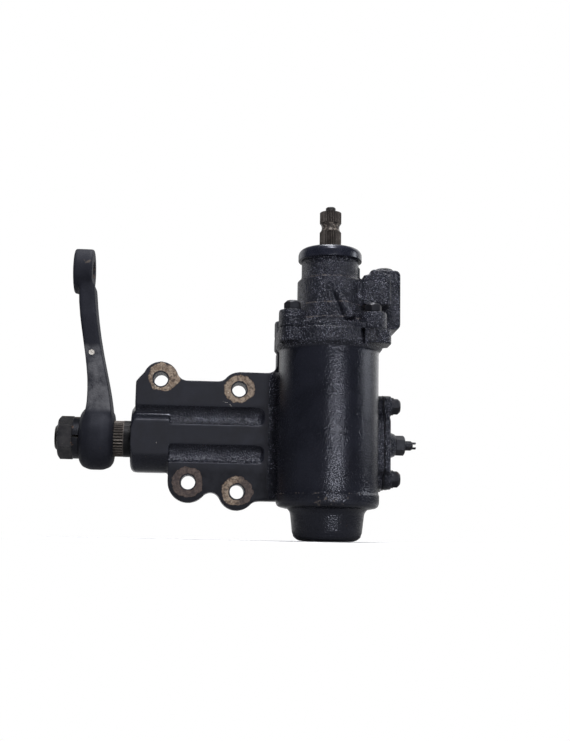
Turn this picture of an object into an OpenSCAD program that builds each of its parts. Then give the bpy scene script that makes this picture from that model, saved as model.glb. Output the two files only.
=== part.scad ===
// Power steering gearbox: recirculating-ball box with rotary valve and pitman arm.
// X runs along the sector shaft, Y into the chassis face, Z up along the worm.

/* [Chassis flange] */
// Diameter of the chassis bolt holes
mount_hole_d = 13.5; // [12:0.5:15]
// Thickness of the bolting flange
flange_t = 25; // [20:1:28]
// Radius of the cast pads round the upper holes
upper_pad_r = 16.8; // [15:0.2:17.4]
// Upper left hole, along the sector shaft
hole_ul_x = -44.5; // [-48:0.5:-42]
// Upper left hole, height
hole_ul_z = 55.3; // [53:0.1:57]
// Upper right hole, along the sector shaft
hole_ur_x = 30; // [28:0.5:33]
// Upper right hole, height
hole_ur_z = 47.3; // [46:0.1:49]
// Lower left hole, along the sector shaft
hole_ll_x = -16; // [-19:0.5:-14]
// Lower left hole, height
hole_ll_z = -41.2; // [-44:0.1:-40]
// Lower right hole, along the sector shaft
hole_lr_x = 30; // [28:0.5:33]
// Lower right hole, height
hole_lr_z = -49.2; // [-52:0.1:-47.5]

/* [Gear housing] */
// Distance from the chassis face to the sector shaft axis
sector_y = 28; // [27:0.5:29]
// Distance from the flange centre to the worm axis
worm_x = 112; // [109:0.5:116]
// Bore of the power cylinder
bore_d = 75; // [74:0.5:77]
// Wall of the power cylinder
cyl_wall = 9; // [8:0.5:10.5]
// Height of the joint between gear housing and valve housing
joint_z = 97.8; // [96:0.1:101]
// Left end of the sector shaft boss
boss_x = -71.2; // [-74:0.1:-70]
// Diameter of the sector shaft tube
tube_d = 59.2; // [58.5:0.5:61]
// Diameter of the boss that holds the sector seals
boss_d = 64; // [62:0.5:66]
// Lowest point of the end cap
cap_bottom_z = -93.8; // [-98:0.1:-93]

/* [Sector and arm] */
// Diameter of the sector shaft journal
sector_d = 35; // [34:0.5:36]
// Width of the sector teeth
gear_w = 40; // [36:1:42]
// Module of the rack and sector teeth
tooth_module = 5.75; // [5.65:0.05:5.85]
// Length of the pitman arm between centres
arm_length = 163; // [150:1:180]
// Sideways offset of the arm eye from the hub
eye_offset = 26.4; // [20:0.1:30]
// Diameter of the arm eye
eye_d = 44; // [40:1:48]
// Thickness of the arm eye
eye_t = 18.4; // [17:0.1:24]
// Diameter of the arm hub
hub_d = 60.4; // [57:0.1:63]
// Thickness of the arm hub
hub_t = 32.4; // [30:0.1:34]
// Small end of the ball joint taper in the eye
taper_d = 16; // [14:0.5:18]

/* [Valve and input shaft] */
// Diameter of the valve housing body
valve_d = 61; // [59:0.5:64]
// Diameter of the valve housing neck
neck_d = 53.6; // [51:0.5:55]
// Outside diameter of the dust cover
dust_d = 60; // [58:0.5:62]
// Diameter of the input spline
spline_d = 20.5; // [19:0.25:21]
// Top of the input spline
spline_top_z = 215.5; // [210:0.5:220]
// Lead of the ball screw
worm_lead = 10.5; // [10:0.25:11]

/* [Fasteners] */
// Width across flats of the small hexagon heads
hex_af = 14; // [13:0.5:15]
// Nominal diameter of the housing bolts
bolt_d = 10; // [9:0.5:10.5]
// Width across flats of the arm nut
nut_af = 36; // [34:0.5:38]
// Diameter of the adjusting screw
adjuster_d = 9.4; // [9:0.2:10]

/* [Hidden] */
$fn = 64;
cut = 1;
fit = 0.05;
hex_sides = 6;
half = 0.5;

// Gear pair
sector_teeth_full = 10;
pressure_angle = 28;
addendum_factor = 0.85;
root_gap = 1.3;
backlash = 0.12;
pitch_r = tooth_module * sector_teeth_full / 2;
addendum = addendum_factor * tooth_module;
tip_r = pitch_r + addendum;
root_r = pitch_r - addendum - root_gap;
base_r = pitch_r * cos(pressure_angle);
flank_r0 = base_r + 0.01;
rack_pitch = PI * tooth_module;
rack_line = 25.25;
worm_y = sector_y - pitch_r - rack_line;

// Ball screw
worm_r = 13;
ball_r = 3.175;
ball_path_r = 13.2;
track_r = 3.8;
track_sides = 8;
track_steps = 20;
track_over = 3;
ball_turns = 2;
ball_pitch = 7.1;
return_ball_z = 6.8;
stroke = 23.2;

// Main radii and stations of the gear housing
bore_r = bore_d / 2;
cyl_r = bore_r + cyl_wall;
cyl_left_x = worm_x - cyl_r;
cover_x = worm_x + cyl_r + 7.5;
cavity_r = 37.2;
cavity_x = worm_x - gear_w / 2 - 20;
sector_wall = 7;
sector_case_r = cavity_r + sector_wall;
tube_r = tube_d / 2;
boss_r = boss_d / 2;
boss_step_x = boss_x + 36.2;
boss_cham = 3;
shaft_bore_r = sector_d / 2 + 4.5;
seal_bore_r = shaft_bore_r + 2;
seal_depth = 13.5;
ring_groove_x0 = boss_x + 6.2;
ring_groove_x1 = boss_x + 8.1;
ring_groove_d = 1.2;
ring_play = 0.1;
ring_opening = 3;
ring_width = 2.6;
dust_seal_set = 0.6;
shoulder_z = -63.8;
bore_floor_z = -54.4;
cap_cavity_r = 27.5;
cap_floor_z = -87.6;
cap_wall = 6.8;
cap_side_r = cap_cavity_r + cap_wall;
cap_low_r = cap_side_r - 1.4;
cap_round = 10.5;
cap_fillet = 7;
band_z = -51.2;
band_r = cyl_r + 1;
edge_round = 5;

// Joint between gear housing and valve housing
joint_flange_t = 13.4;
joint_flange_r = cyl_r + 3.4;
flare_h = 5;
joint_bolt_x = 37.2;
joint_bolt_y = 28.5;
back_bolt_x = 19.8;
back_bolt_y = 42.5;
joint_bolts = [[-joint_bolt_x, -joint_bolt_y], [joint_bolt_x, -joint_bolt_y],
  [-joint_bolt_x, joint_bolt_y], [back_bolt_x, back_bolt_y]];
lug_r = 12.4;
gallery_x = worm_x + 34.8;
gallery_z = joint_z - 6;
gallery_face_y = worm_y - joint_bolt_y - lug_r - 0.8;
gallery_plug_r = 5.6;
gallery_depth = 7;
gallery_boss_r = 6.9;
corner_d = 30;
corner_x = worm_x + 53.4;
corner_round = 9;
corner_y = gallery_face_y + 2;
plug_set = 0.5;
notch_x = gallery_x - gallery_boss_r;
notch_w = 4;
notch_d = 9;

// Chassis flange
face_y = 0;
upper_groove_z = 21.7;
upper_left_x = hole_ul_x - upper_pad_r - 6.5;
upper_left_drop = 2.5;
upper_top_z = hole_ul_z - 0.5;
upper_right_z = hole_ur_z + upper_pad_r;
lower_groove_z = -14.2;
ll_pad_r = 19;
lr_pad_r = 17.5;
lower_right_z = hole_lr_z - 8.2;
flange_end_x = cyl_left_x + 13;
groove_w = 17.6;
groove_d = 5.2;
groove_r = (groove_w * groove_w / 4 + groove_d * groove_d) / (2 * groove_d);
groove_y = face_y + groove_d - groove_r;
groove_end_x = cyl_left_x - 11.5;
pad_fillet = 9;
pad_sink = 0.6;
notch_fillet = 9;
web_x = cyl_left_x + 0.7;
web_fillet = 11;
rib_left_x = cyl_left_x - 0.3;
rib_fillet = 8;
rib_d = 22;

// Side cover
cover_bolt_y = 30;
cover_bolt_z = 34.6;
cover_lug_r = 10;
cover_plate_r = sector_case_r;
gasket_t = 0.8;
cover_t = 5.6;
cover_lug_t = 8;
cover_flange_t = 13;
bar_front_y = sector_y - sector_case_r - 2;
bar_low_z = -30;
bar_high_z = 26;
bar_cham = 6;
cover_in_x = cover_x + gasket_t;
cover_face_x = cover_in_x + cover_t;
cone_r1 = 15.5;
cone_r2 = 10.6;
cone_x = cover_face_x + 11.8;
journal_r = 15;
bush_r = 17.5;
bush_set = 1;
cover_hub_r = 23;
bush_x1 = cover_x - 3;
bush_x0 = worm_x + gear_w / 2 + 6;
journal_x = cover_x - 7;
pocket_r = 8.5;
pocket_x = journal_x - 13;
adj_head_r = 8;
adj_head_t = 4;
adj_head_x = pocket_x + 1;
adj_tip_x = cone_x + 20.1;
adj_r = adjuster_d / 2;
dog_x = adj_tip_x - 5;
dog_r = adj_r - 1.2;
slot_w = 3.1;
slot_d = 3.2;
retainer_x0 = adj_head_x + adj_head_t + 0.3;
retainer_t = 4;
retainer_hole_r = 5.6;

// Fasteners
hex_r = hex_af / 2 / cos(30);
cover_head_t = 6.6;
joint_head_t = 7.6;
washer_r = 8.4;
washer_t = 1.9;
head_seat_r = hex_af / 2 - 0.3;
head_seat_t = 1.6;
joint_hex_turn = 10;
cover_hex_turn = 45;
lock_nut_af = 17;
lock_nut_r = lock_nut_af / 2 / cos(30);
lock_nut_t = 8.9;
end_cham = 1;
bolt_r = bolt_d / 2;
hole_gap = 0.5;
thread_gap = 0.05;
hex_over = 0.4;
hex_cham = 1.3;
hex_fall = 1.7;
head_cham = 3.2;
head_fall = 2.8;
joint_bolt_grip = 15.8;
joint_bolt_reach = 11;
cover_bolt_reach = 11;

// Sector shaft stations
gear_x0 = worm_x - gear_w / 2;
gear_x1 = worm_x + gear_w / 2;
sector_r = sector_d / 2;
arm_x1 = boss_x - 16.4;
arm_x0 = arm_x1 - hub_t;
serration_x1 = arm_x1 + 8.6;
serration_r = sector_r - 0.25;
serration_root_r = serration_r - 1.1;
serration_n = 36;
thread_r = 12;
lock_washer_t = 6.4;
lock_washer_r = 20;
washer_gap = 0.3;
split_angle = 14;
split_w = 2;
nut_x1 = arm_x0 - lock_washer_t;
nut_t = 14;
nut_x0 = nut_x1 - nut_t;
nut_r = nut_af / 2 / cos(30);
nut_cham = 2.4;
nut_fall = 3.1;
shaft_end_x = nut_x0 - 3;
shaft_cham = 1.5;
hub_cham = 2;
hub_end_t = 3.2;
hub_end_d = 7.2;
hub_mid_t = 10;
hub_mid_d = 2.6;
serration_gap = 0.06;
roller_r = 1.7;
roller_n = 20;
roller_path_r = sector_r + 0.1 + roller_r;
shell_in_r = roller_path_r + roller_r + 0.1;
bearing_len = 28;
shell_lip = 1;
lip_gap = 0.5;
bearing_a_x = boss_x + seal_depth + 2;
bearing_b_x = cavity_x - bearing_len - 4;

// Arm
eye_x1 = arm_x1 - eye_offset;
eye_x0 = eye_x1 - eye_t;
eye_r = eye_d / 2;
hub_r = hub_d / 2;
taper_ratio = 10;
shank_eye_w = 32;
shank_hub_w = 44;
shank_steps = 10;
shank_eye_x0 = eye_x0 + 6;
shank_eye_x1 = eye_x1 + 2.4;
shank_hub_x0 = arm_x0 + 4.6;
shank_hub_x1 = arm_x1 - 2.4;
shank_root = 15.4;
shank_pull = 61;
left_start_z = 20;
left_lean = 1;
left_pull = 62;
left_swell = 7;
right_start_z = 24;
right_swell = 4.4;
right_lean = 5.2;
right_pull = 78;

// Rack piston stations
piston_r = bore_r - 0.1;
piston_low_z = -30;
piston_top_z = 65;
rack_flat_z = 40;
nose_r = 26;
nose_low_z = -63.4;
nut_bore_r = worm_r + 0.4;
worm_end_z = -36;
plug_z = worm_end_z - stroke - 0.7;
plug_r = 18;
ring_z = 57.5;
ring_h = 3.5;
ring_depth = 3;
ring_gap = 0.03;
guide_z = worm_lead * ball_turns / 2;
guide_in_r = 3.45;
guide_r = 4.2;
guide_wall = 6.5;
guide_y = bore_r - guide_wall;
guide_stop = 3.6;
pocket_depth = 10.9;
pocket_floor = bore_r - pocket_depth;
pocket_half_x = 12.5;
pocket_half_z = guide_z + 5.5;
clamp_t = 1.1;
clamp_half_z = 4;
clamp_x = 12;
screw_x = 8.6;
screw_r = 1.9;
screw_head_r = 2.9;
screw_head_t = 2.4;
screw_len = 7;

// Valve stations
spigot_low_z = joint_z - 7;
spigot_r = bore_r - 0.1;
o_ring_r = 1.5;
o_ring_z = joint_z - 3.5;
o_ring_groove_d = 2.95;
o_ring_groove_h = 3.6;
o_ring_path_r = spigot_r - o_ring_groove_d + o_ring_r;
brg_z0 = joint_z - 3.7;
brg_z1 = brg_z0 + 14;
brg_out_r = 28;
brg_out_in_r = 24;
brg_in_out_r = 18.4;
brg_in_r = 15;
brg_ball_r = 3.4;
brg_ball_path_r = (brg_out_in_r + brg_in_out_r) / 2;
brg_groove_r = 3.5;
brg_ball_n = 12;
lock_ring_z = spigot_low_z + 0.4;
lock_ring_in_r = brg_out_in_r - 1;
worm_flange_z1 = brg_z1 + 5;
worm_flange_r = 19;
sleeve_z0 = worm_flange_z1;
sleeve_z1 = joint_z + 49;
sleeve_r = 20.9;
sleeve_bore_r = 21;
spool_r = 12;
spool_gap = 0.4;
body_top_z = joint_z + 50;
neck_top_z = joint_z + 75;
neck_r = neck_d / 2;
valve_r = valve_d / 2;
skirt_top_z = joint_z + 25;
skirt_r = valve_r + 2.6;
skirt_flare = 1.4;
ledge_z = joint_z + 10.4;
ledge_r = skirt_r + 3.6;
valve_flange_t = 6;
valve_flange_r = cyl_r - 1;
lug_top_z = joint_z + joint_bolt_grip;
step_cham = 1.6;
in_journal_r = 11;
in_brg_z0 = body_top_z + 1.2;
in_brg_len = 9;
in_brg_r = 16;
in_roller_r = 1.1;
in_roller_n = 18;
in_roller_path_r = in_journal_r + 0.05 + in_roller_r;
in_shell_in_r = in_roller_path_r + in_roller_r + 0.05;
in_seal_z0 = in_brg_z0 + in_brg_len + 1;
in_seal_h = 6.5;
in_seal_r = 17;
snap_z = in_seal_z0 + in_seal_h + 0.3;
snap_t = 1.4;
snap_r = 18.2;
snap_in_r = in_seal_r - 2;
dust_r = dust_d / 2;
dust_low_z = neck_top_z - 5.6;
dust_top_z = neck_top_z + 7.2;
dust_skirt = 5.4;
dust_cham = 0.6;
dust_lip = 3.5;
dust_round = 6;
spline_r = spline_d / 2;
spline_low_z = dust_top_z + spool_gap;
spline_n = 36;
spline_depth = 0.75;
spline_step = 0.3;
pinch_z = spline_top_z - 14.9;
pinch_half_h = 4.65;
pinch_min_r = spline_r - 1.9;
pinch_depth = spline_r - pinch_min_r;
pinch_round = (pinch_half_h * pinch_half_h + pinch_depth * pinch_depth) / (2 * pinch_depth);
bar_r = 3.6;
bar_gap = 0.2;
bar_head_cham = 0.8;
bar_head_r = 4.7;
bar_foot_r = 5;
bar_top_z = spline_top_z + 5.3;
bar_head_z = spline_top_z - 30;
bar_foot_z1 = joint_z + 2;
bar_low_z2 = joint_z - 12;
pin_r = 1.5;
low_pin_z = joint_z - 5;
low_pin_len = 2 * worm_r - 1;
high_pin_z = spline_low_z + 7.8;
high_pin_len = 2 * (spline_r - spline_depth) - 1;
tongue_z0 = joint_z + 4;
tongue_r = 10;
tongue_w = 11;
stop_angle = 5;
recess_gap = 0.15;
recess_r = tongue_r + 0.4;
seal_ring_z = [3.5, 12, 20.5, 29];
seal_ring_h = 1.8;
seal_ring_in_r = 19.1;
oil_groove_z = [7.8, 16.3, 24.8];
oil_groove_h = 4;
oil_groove_r = 18.6;
oil_hole_r = 1.5;
oil_hole_n = 3;
oil_hole_turn = 30;
drive_pin_path = 15.5;
drive_pin_len = 6;

// Port block
block_x0 = worm_x + 38;
block_x1 = worm_x + 67.6;
block_y0 = worm_y;
block_y1 = worm_y + 44;
block_z0 = joint_z + 7;
block_z1 = joint_z + 64.4;
block_round = 5;
port_y = worm_y + 17;
pressure_z = joint_z + 27.5;
return_z = joint_z + 46.5;
pressure_r = 7.25;
return_r = 8.25;
port_depth = 15;
port_thread = 10.2;
pilot_r = 6.4;
pressure_spot_r = 9.3;
return_spot_r = 10;
port_spot_d = 0.8;
gallery_r = 3.2;
seat_r = 5.6;
seat_h = 4.5;
seat_hole_r = 2.2;
front_lug_y0 = worm_y - 21;
front_lug_z0 = joint_z + 25.6;
front_lug_z1 = joint_z + 59.6;
lug_root = worm_x + 29;
lug_left = worm_x + 34.6;
lug_right = worm_x + 55;
lug_round = 5;
lug_slope = 6;
lug_turn = 62;
wall_y0 = front_lug_y0 + 2;
wall_y1 = block_y1 - 16;
dome_x = worm_x + 54.5;
dome_r = 12;
dome_set = 6;
dome_draft = 4;
dome_z1 = joint_z + 69;
rib_r = 5.2;
rib_y = worm_y - skirt_r - 2.6;
rib_depth = 12;
rib_low_x = 15.5;
rib_low_h = 9;
rib_len = 28;
rib_lean = 22;
rib_tilt = 14;
rib_side = rib_r - 0.7;
key_x = worm_x + neck_r + 1.2;
key_w = 9;
key_h = 14;

// Helpers

// Cylinder on the sector shaft axis.
module on_sector(x0, x1, r) {
  translate([x0, sector_y, 0])
    rotate([0, 90, 0])
      cylinder(h = x1 - x0, r = r);
}

// Cone on the sector shaft axis.
module cone_on_sector(x0, x1, r0, r1) {
  translate([x0, sector_y, 0])
    rotate([0, 90, 0])
      cylinder(h = x1 - x0, r1 = r0, r2 = r1);
}

// Cylinder on the worm axis.
module on_worm(z0, z1, r) {
  translate([worm_x, worm_y, z0])
    cylinder(h = z1 - z0, r = r);
}

// Cone on the worm axis.
module cone_on_worm(z0, z1, r0, r1) {
  translate([worm_x, worm_y, z0])
    cylinder(h = z1 - z0, r1 = r0, r2 = r1);
}

// Ring on the worm axis.
module ring_on_worm(z0, z1, r0, r1) {
  difference() {
    on_worm(z0, z1, r1);
    on_worm(z0 - cut, z1 + cut, r0);
  }
}

// Ring on the sector shaft axis.
module ring_on_sector(x0, x1, r0, r1) {
  difference() {
    on_sector(x0, x1, r1);
    on_sector(x0 - cut, x1 + cut, r0);
  }
}

// Round bar along the depth direction.
module along_y(x, z, y0, y1, r) {
  translate([x, y0, z])
    rotate([-90, 0, 0])
      cylinder(h = y1 - y0, r = r);
}

// Round bar along the sector direction.
module along_x(x0, x1, y, z, r) {
  translate([x0, y, z])
    rotate([0, 90, 0])
      cylinder(h = x1 - x0, r = r);
}

// Plate with its outline in X and Z, between two depths.
module plate_xz(y0, y1, outline) {
  translate([0, y1, 0])
    rotate([90, 0, 0])
      linear_extrude(height = y1 - y0)
        polygon(outline);
}

// Box between two corners.
module span(a, b) {
  translate(a)
    cube(b - a);
}

// Points of an arc.
function arc(c, r, a0, a1, n) =
  [for (i = [0:n]) c + r * [cos(a0 + (a1 - a0) * i / n), sin(a0 + (a1 - a0) * i / n)]];

// Points of a fillet arc whose marked ends reach a little into the pad that they meet.
function fillet_arc(c, r, a0, a1, n, in0, in1) =
  [for (i = [0:n])
    let (a = a0 + (a1 - a0) * i / n, q = (i == 0 && in0) || (i == n && in1) ? r + pad_sink : r)
      c + q * [cos(a), sin(a)]];

// Point of a cubic curve.
function curve_at(p, t) =
  pow(1 - t, 3) * p[0] + 3 * t * pow(1 - t, 2) * p[1]
  + 3 * t * t * (1 - t) * p[2] + pow(t, 3) * p[3];

function curve(p, n) = [for (i = [0:n]) curve_at(p, i / n)];

// Star outline for splines and serrations.
function star(n, r_out, r_in) =
  [for (i = [0:2 * n - 1])
    let (r = i % 2 == 0 ? r_out : r_in, a = 180 * i / n)
      [r * cos(a), r * sin(a)]];

// Hexagon with chamfered ends, from z = 0 up.
module hex_prism(r, h, cham, fall) {
  intersection() {
    cylinder(h = h, r = r, $fn = hex_sides);
    union() {
      translate([0, 0, h - cham])
        cylinder(h = cham, r1 = r + hex_over, r2 = r - fall);
      cylinder(h = h - cham, r = r + hex_over);
    }
  }
}

// Hexagon bolt with a round seat under its head, seat at z = 0 and head upward.
module hex_bolt(reach, seat_r, seat_t, head_t, turn) {
  translate([0, 0, seat_t])
    rotate([0, 0, turn])
      hex_prism(hex_r, head_t, head_cham, head_fall);
  cylinder(h = seat_t, r = seat_r);
  translate([0, 0, -reach])
    cylinder(h = reach + cut, r = bolt_r);
}

// Puts its children at the four valve housing bolts, z = 0 at the joint.
module at_joint_bolts() {
  for (p = joint_bolts)
    translate([worm_x + p[0], worm_y + p[1], joint_z])
      children();
}

// Puts its children at the four cover bolts, their z axis leaving the cover.
module at_cover_bolts(x) {
  for (sy = [-1, 1])
    for (sz = [-1, 1])
      translate([x, sector_y + sy * cover_bolt_y, sz * cover_bolt_z])
        rotate([0, 90, 0])
          children();
}

// Helical ball track round the worm axis, through the front at z = 0.
module ball_track(z0, z1) {
  n = ceil((z1 - z0) / worm_lead * track_steps);
  points = [for (i = [0:n])
    let (z = z0 + (z1 - z0) * i / n, a = 360 * z / worm_lead - 90)
      for (k = [0:track_sides - 1])
        let (b = 360 * (k + half) / track_sides, q = ball_path_r + track_r * cos(b))
          [q * cos(a), q * sin(a), z + track_r * sin(b)]];
  sides = [for (i = [0:n - 1], k = [0:track_sides - 1])
    let (m = (k + 1) % track_sides)
    each [[i * track_sides + k, i * track_sides + m, (i + 1) * track_sides + m],
      [i * track_sides + k, (i + 1) * track_sides + m, (i + 1) * track_sides + k]]];
  first = [for (k = [0:track_sides - 1]) track_sides - 1 - k];
  last = [for (k = [0:track_sides - 1]) n * track_sides + k];
  translate([worm_x, worm_y, 0])
    polyhedron(points = points, faces = concat(sides, [first], [last]));
}

// Flange outlines

// Horizontal distance of a fillet centre from a pad centre.
function fillet_dx(pad_r, fillet_r, dz) = sqrt(pow(pad_r + fillet_r, 2) - dz * dz);

ul_dz = upper_top_z + pad_fillet - hole_ul_z;
ul_fx = hole_ul_x + fillet_dx(upper_pad_r, pad_fillet, ul_dz);
ur_dz = upper_top_z + pad_fillet - hole_ur_z;
ur_fx = hole_ur_x - fillet_dx(upper_pad_r, pad_fillet, ur_dz);
lr_dz = hole_lr_z - lower_right_z + notch_fillet;
lr_fx = hole_lr_x + fillet_dx(lr_pad_r, notch_fillet, lr_dz);

function upper_outline(low_z) = concat(
  [[flange_end_x, low_z], [flange_end_x, upper_right_z],
    [hole_ur_x, upper_right_z], [hole_ur_x, hole_ur_z]],
  fillet_arc([ur_fx, upper_top_z + pad_fillet], pad_fillet,
    -atan2(ur_dz, hole_ur_x - ur_fx), -90, 5, true, false),
  fillet_arc([ul_fx, upper_top_z + pad_fillet], pad_fillet,
    -90, -180 + atan2(ul_dz, ul_fx - hole_ul_x), 5, false, true),
  [[hole_ul_x, hole_ul_z],
    [hole_ul_x - (upper_pad_r - pad_sink) * cos(30), hole_ul_z + (upper_pad_r - pad_sink) * half],
    [upper_left_x, hole_ul_z - upper_left_drop], [upper_left_x, low_z]]);

pad_gap = [hole_lr_x - hole_ll_x, hole_lr_z - hole_ll_z];
pad_dist = norm(pad_gap);
pad_dir = pad_gap / pad_dist;
pad_down = [pad_dir[1], -pad_dir[0]];
ll_reach = ll_pad_r + notch_fillet;
lr_reach = lr_pad_r + notch_fillet;
notch_a = (ll_reach * ll_reach - lr_reach * lr_reach + pad_dist * pad_dist) / (2 * pad_dist);
notch_b = sqrt(ll_reach * ll_reach - notch_a * notch_a);
notch_c = [hole_ll_x, hole_ll_z] + notch_a * pad_dir + notch_b * pad_down;
notch_a0 = atan2(hole_ll_z - notch_c[1], hole_ll_x - notch_c[0]);
notch_a1 = atan2(hole_lr_z - notch_c[1], hole_lr_x - notch_c[0]);

function lower_outline(high_z) = concat(
  [[hole_ll_x - ll_pad_r, high_z], [hole_ll_x - ll_pad_r, hole_ll_z], [hole_ll_x, hole_ll_z]],
  fillet_arc(notch_c, notch_fillet, notch_a0, notch_a1, 7, true, true),
  [[hole_lr_x, hole_lr_z]],
  fillet_arc([lr_fx, lower_right_z - notch_fillet], notch_fillet,
    180 - atan2(lr_dz, lr_fx - hole_lr_x), 90, 5, true, false),
  [[flange_end_x, lower_right_z], [flange_end_x, high_z]]);

// Castings

// End cap and its inner corner, as a turned shape.
module cap_form() {
  side = [[cap_side_r, shoulder_z - cap_fillet], [cap_low_r, cap_bottom_z + cap_round]];
  translate([worm_x, worm_y, 0])
    rotate_extrude()
      polygon(concat(
        [[0, shoulder_z + edge_round], [band_r, shoulder_z + edge_round]],
        arc([band_r - edge_round, shoulder_z + edge_round], edge_round, -10, -90, 5),
        arc([cap_side_r + cap_fillet, shoulder_z - cap_fillet], cap_fillet, 90, 180, 5),
        side,
        arc([cap_low_r - cap_round, cap_bottom_z + cap_round], cap_round, -15, -90, 5),
        [[0, cap_bottom_z]]));
}

// Outline of the side cover joint, drawn in depth and height.
module cover_outline_solid(x0, x1) {
  on_sector(x0, x1, cover_plate_r);
  for (sy = [-1, 1])
    for (sz = [-1, 1])
      along_x(x0, x1, sector_y + sy * cover_bolt_y, sz * cover_bolt_z, cover_lug_r);
  translate([x0, 0, 0])
    rotate([90, 0, 90])
      linear_extrude(height = x1 - x0)
        polygon([[bar_front_y, bar_low_z + bar_cham * half], [bar_front_y + bar_cham * half, bar_low_z],
          [sector_y, bar_low_z], [sector_y, bar_high_z], [bar_front_y + bar_cham, bar_high_z],
          [bar_front_y, bar_high_z - bar_cham]]);
}

module gear_housing() {
  color([0.12, 0.12, 0.14])
    difference() {
      union() {
        on_worm(shoulder_z + edge_round, joint_z, cyl_r);
        on_worm(shoulder_z + edge_round, band_z, band_r);
        cap_form();
        cone_on_worm(joint_z - joint_flange_t - flare_h, joint_z - joint_flange_t,
          cyl_r - cut, joint_flange_r);
        on_worm(joint_z - joint_flange_t, joint_z, joint_flange_r);
        at_joint_bolts()
          translate([0, 0, -joint_flange_t])
            cylinder(h = joint_flange_t, r = lug_r);
        span([gallery_x - cut, corner_y, joint_z - joint_flange_t],
          [corner_x - corner_round, gallery_face_y + corner_d, joint_z]);
        span([gallery_x - cut, corner_y + corner_round, joint_z - joint_flange_t],
          [corner_x, gallery_face_y + corner_d, joint_z]);
        translate([corner_x - corner_round, corner_y + corner_round, joint_z - joint_flange_t])
          cylinder(h = joint_flange_t, r = corner_round);
        difference() {
          along_y(gallery_x, gallery_z, gallery_face_y, gallery_face_y + corner_d, gallery_boss_r);
          span([gallery_x - corner_d, gallery_face_y - cut, joint_z],
            [gallery_x + corner_d, gallery_face_y + 2 * corner_d, joint_z + corner_d]);
        }
        difference() {
          union() {
            on_sector(boss_step_x, cavity_x, tube_r);
            plate_xz(face_y, flange_t, upper_outline(0));
            along_y(hole_ul_x, hole_ul_z, face_y, flange_t, upper_pad_r);
            along_y(hole_ur_x, hole_ur_z, face_y, flange_t, upper_pad_r);
            plate_xz(face_y, flange_t, lower_outline(0));
            along_y(hole_ll_x, hole_ll_z, face_y, flange_t, ll_pad_r);
            along_y(hole_lr_x, hole_lr_z, face_y, flange_t, lr_pad_r);
          }
          span([boss_x - cut, face_y - tube_d, -tube_d], [flange_end_x + cut, face_y, tube_d]);
          along_x(upper_left_x - cut, groove_end_x, groove_y, upper_groove_z, groove_r);
          along_x(hole_ll_x - ll_pad_r - cut, groove_end_x, groove_y, lower_groove_z, groove_r);
        }
        difference() {
          union() {
            on_sector(boss_x + boss_cham, boss_step_x, boss_r);
            cone_on_sector(boss_x, boss_x + boss_cham, boss_r - boss_cham, boss_r);
          }
          span([boss_x - cut, face_y - tube_d, -tube_d], [flange_end_x + cut, face_y, tube_d]);
        }
        difference() {
          span([web_x - web_fillet, worm_y, lower_right_z],
            [flange_end_x + web_fillet, flange_t, upper_right_z]);
          span([web_x - web_fillet - cut, worm_y - cut, lower_right_z - cut],
            [web_x, face_y - web_fillet, upper_right_z + cut]);
          translate([web_x - web_fillet, face_y - web_fillet, lower_right_z - cut])
            cylinder(h = upper_right_z - lower_right_z + 2 * cut, r = web_fillet);
        }
        span([rib_left_x, face_y, upper_right_z - cut],
          [worm_x - half * bore_r, rib_d, joint_z - joint_flange_t + cut]);
        difference() {
          span([rib_left_x - rib_fillet, face_y, upper_right_z - cut],
            [rib_left_x + cut, rib_d, upper_right_z + rib_fillet]);
          along_y(rib_left_x - rib_fillet, upper_right_z + rib_fillet,
            face_y - cut, rib_d + cut, rib_fillet);
        }
        on_sector(cavity_x - sector_wall, cover_x, sector_case_r);
        cover_outline_solid(cover_x - cover_flange_t, cover_x);
      }
      on_worm(bore_floor_z, joint_z + cut, bore_r);
      on_worm(cap_floor_z, bore_floor_z + cut, cap_cavity_r);
      on_sector(cavity_x, cover_x + cut, cavity_r);
      on_sector(boss_x - cut, cavity_x + cut, shaft_bore_r);
      on_sector(boss_x - cut, boss_x + seal_depth, seal_bore_r);
      on_sector(ring_groove_x0, ring_groove_x1, seal_bore_r + ring_groove_d);
      along_y(hole_ul_x, hole_ul_z, face_y - cut, flange_t + cut, mount_hole_d / 2);
      along_y(hole_ur_x, hole_ur_z, face_y - cut, flange_t + cut, mount_hole_d / 2);
      along_y(hole_ll_x, hole_ll_z, face_y - cut, flange_t + cut, mount_hole_d / 2);
      along_y(hole_lr_x, hole_lr_z, face_y - cut, flange_t + cut, mount_hole_d / 2);
      at_joint_bolts()
        translate([0, 0, -joint_bolt_reach - cut])
          cylinder(h = joint_bolt_reach + 2 * cut, r = bolt_r + thread_gap);
      at_cover_bolts(cover_x)
        translate([0, 0, -cover_bolt_reach - cut])
          cylinder(h = cover_bolt_reach + 2 * cut, r = bolt_r + thread_gap);
      along_y(gallery_x, gallery_z, gallery_face_y - cut, gallery_face_y + gallery_depth, gallery_plug_r);
      span([notch_x - notch_w, worm_y - cyl_r - notch_d, joint_z - joint_flange_t - cut],
        [notch_x, gallery_face_y + notch_d, joint_z + cut]);
    }
}

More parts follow.
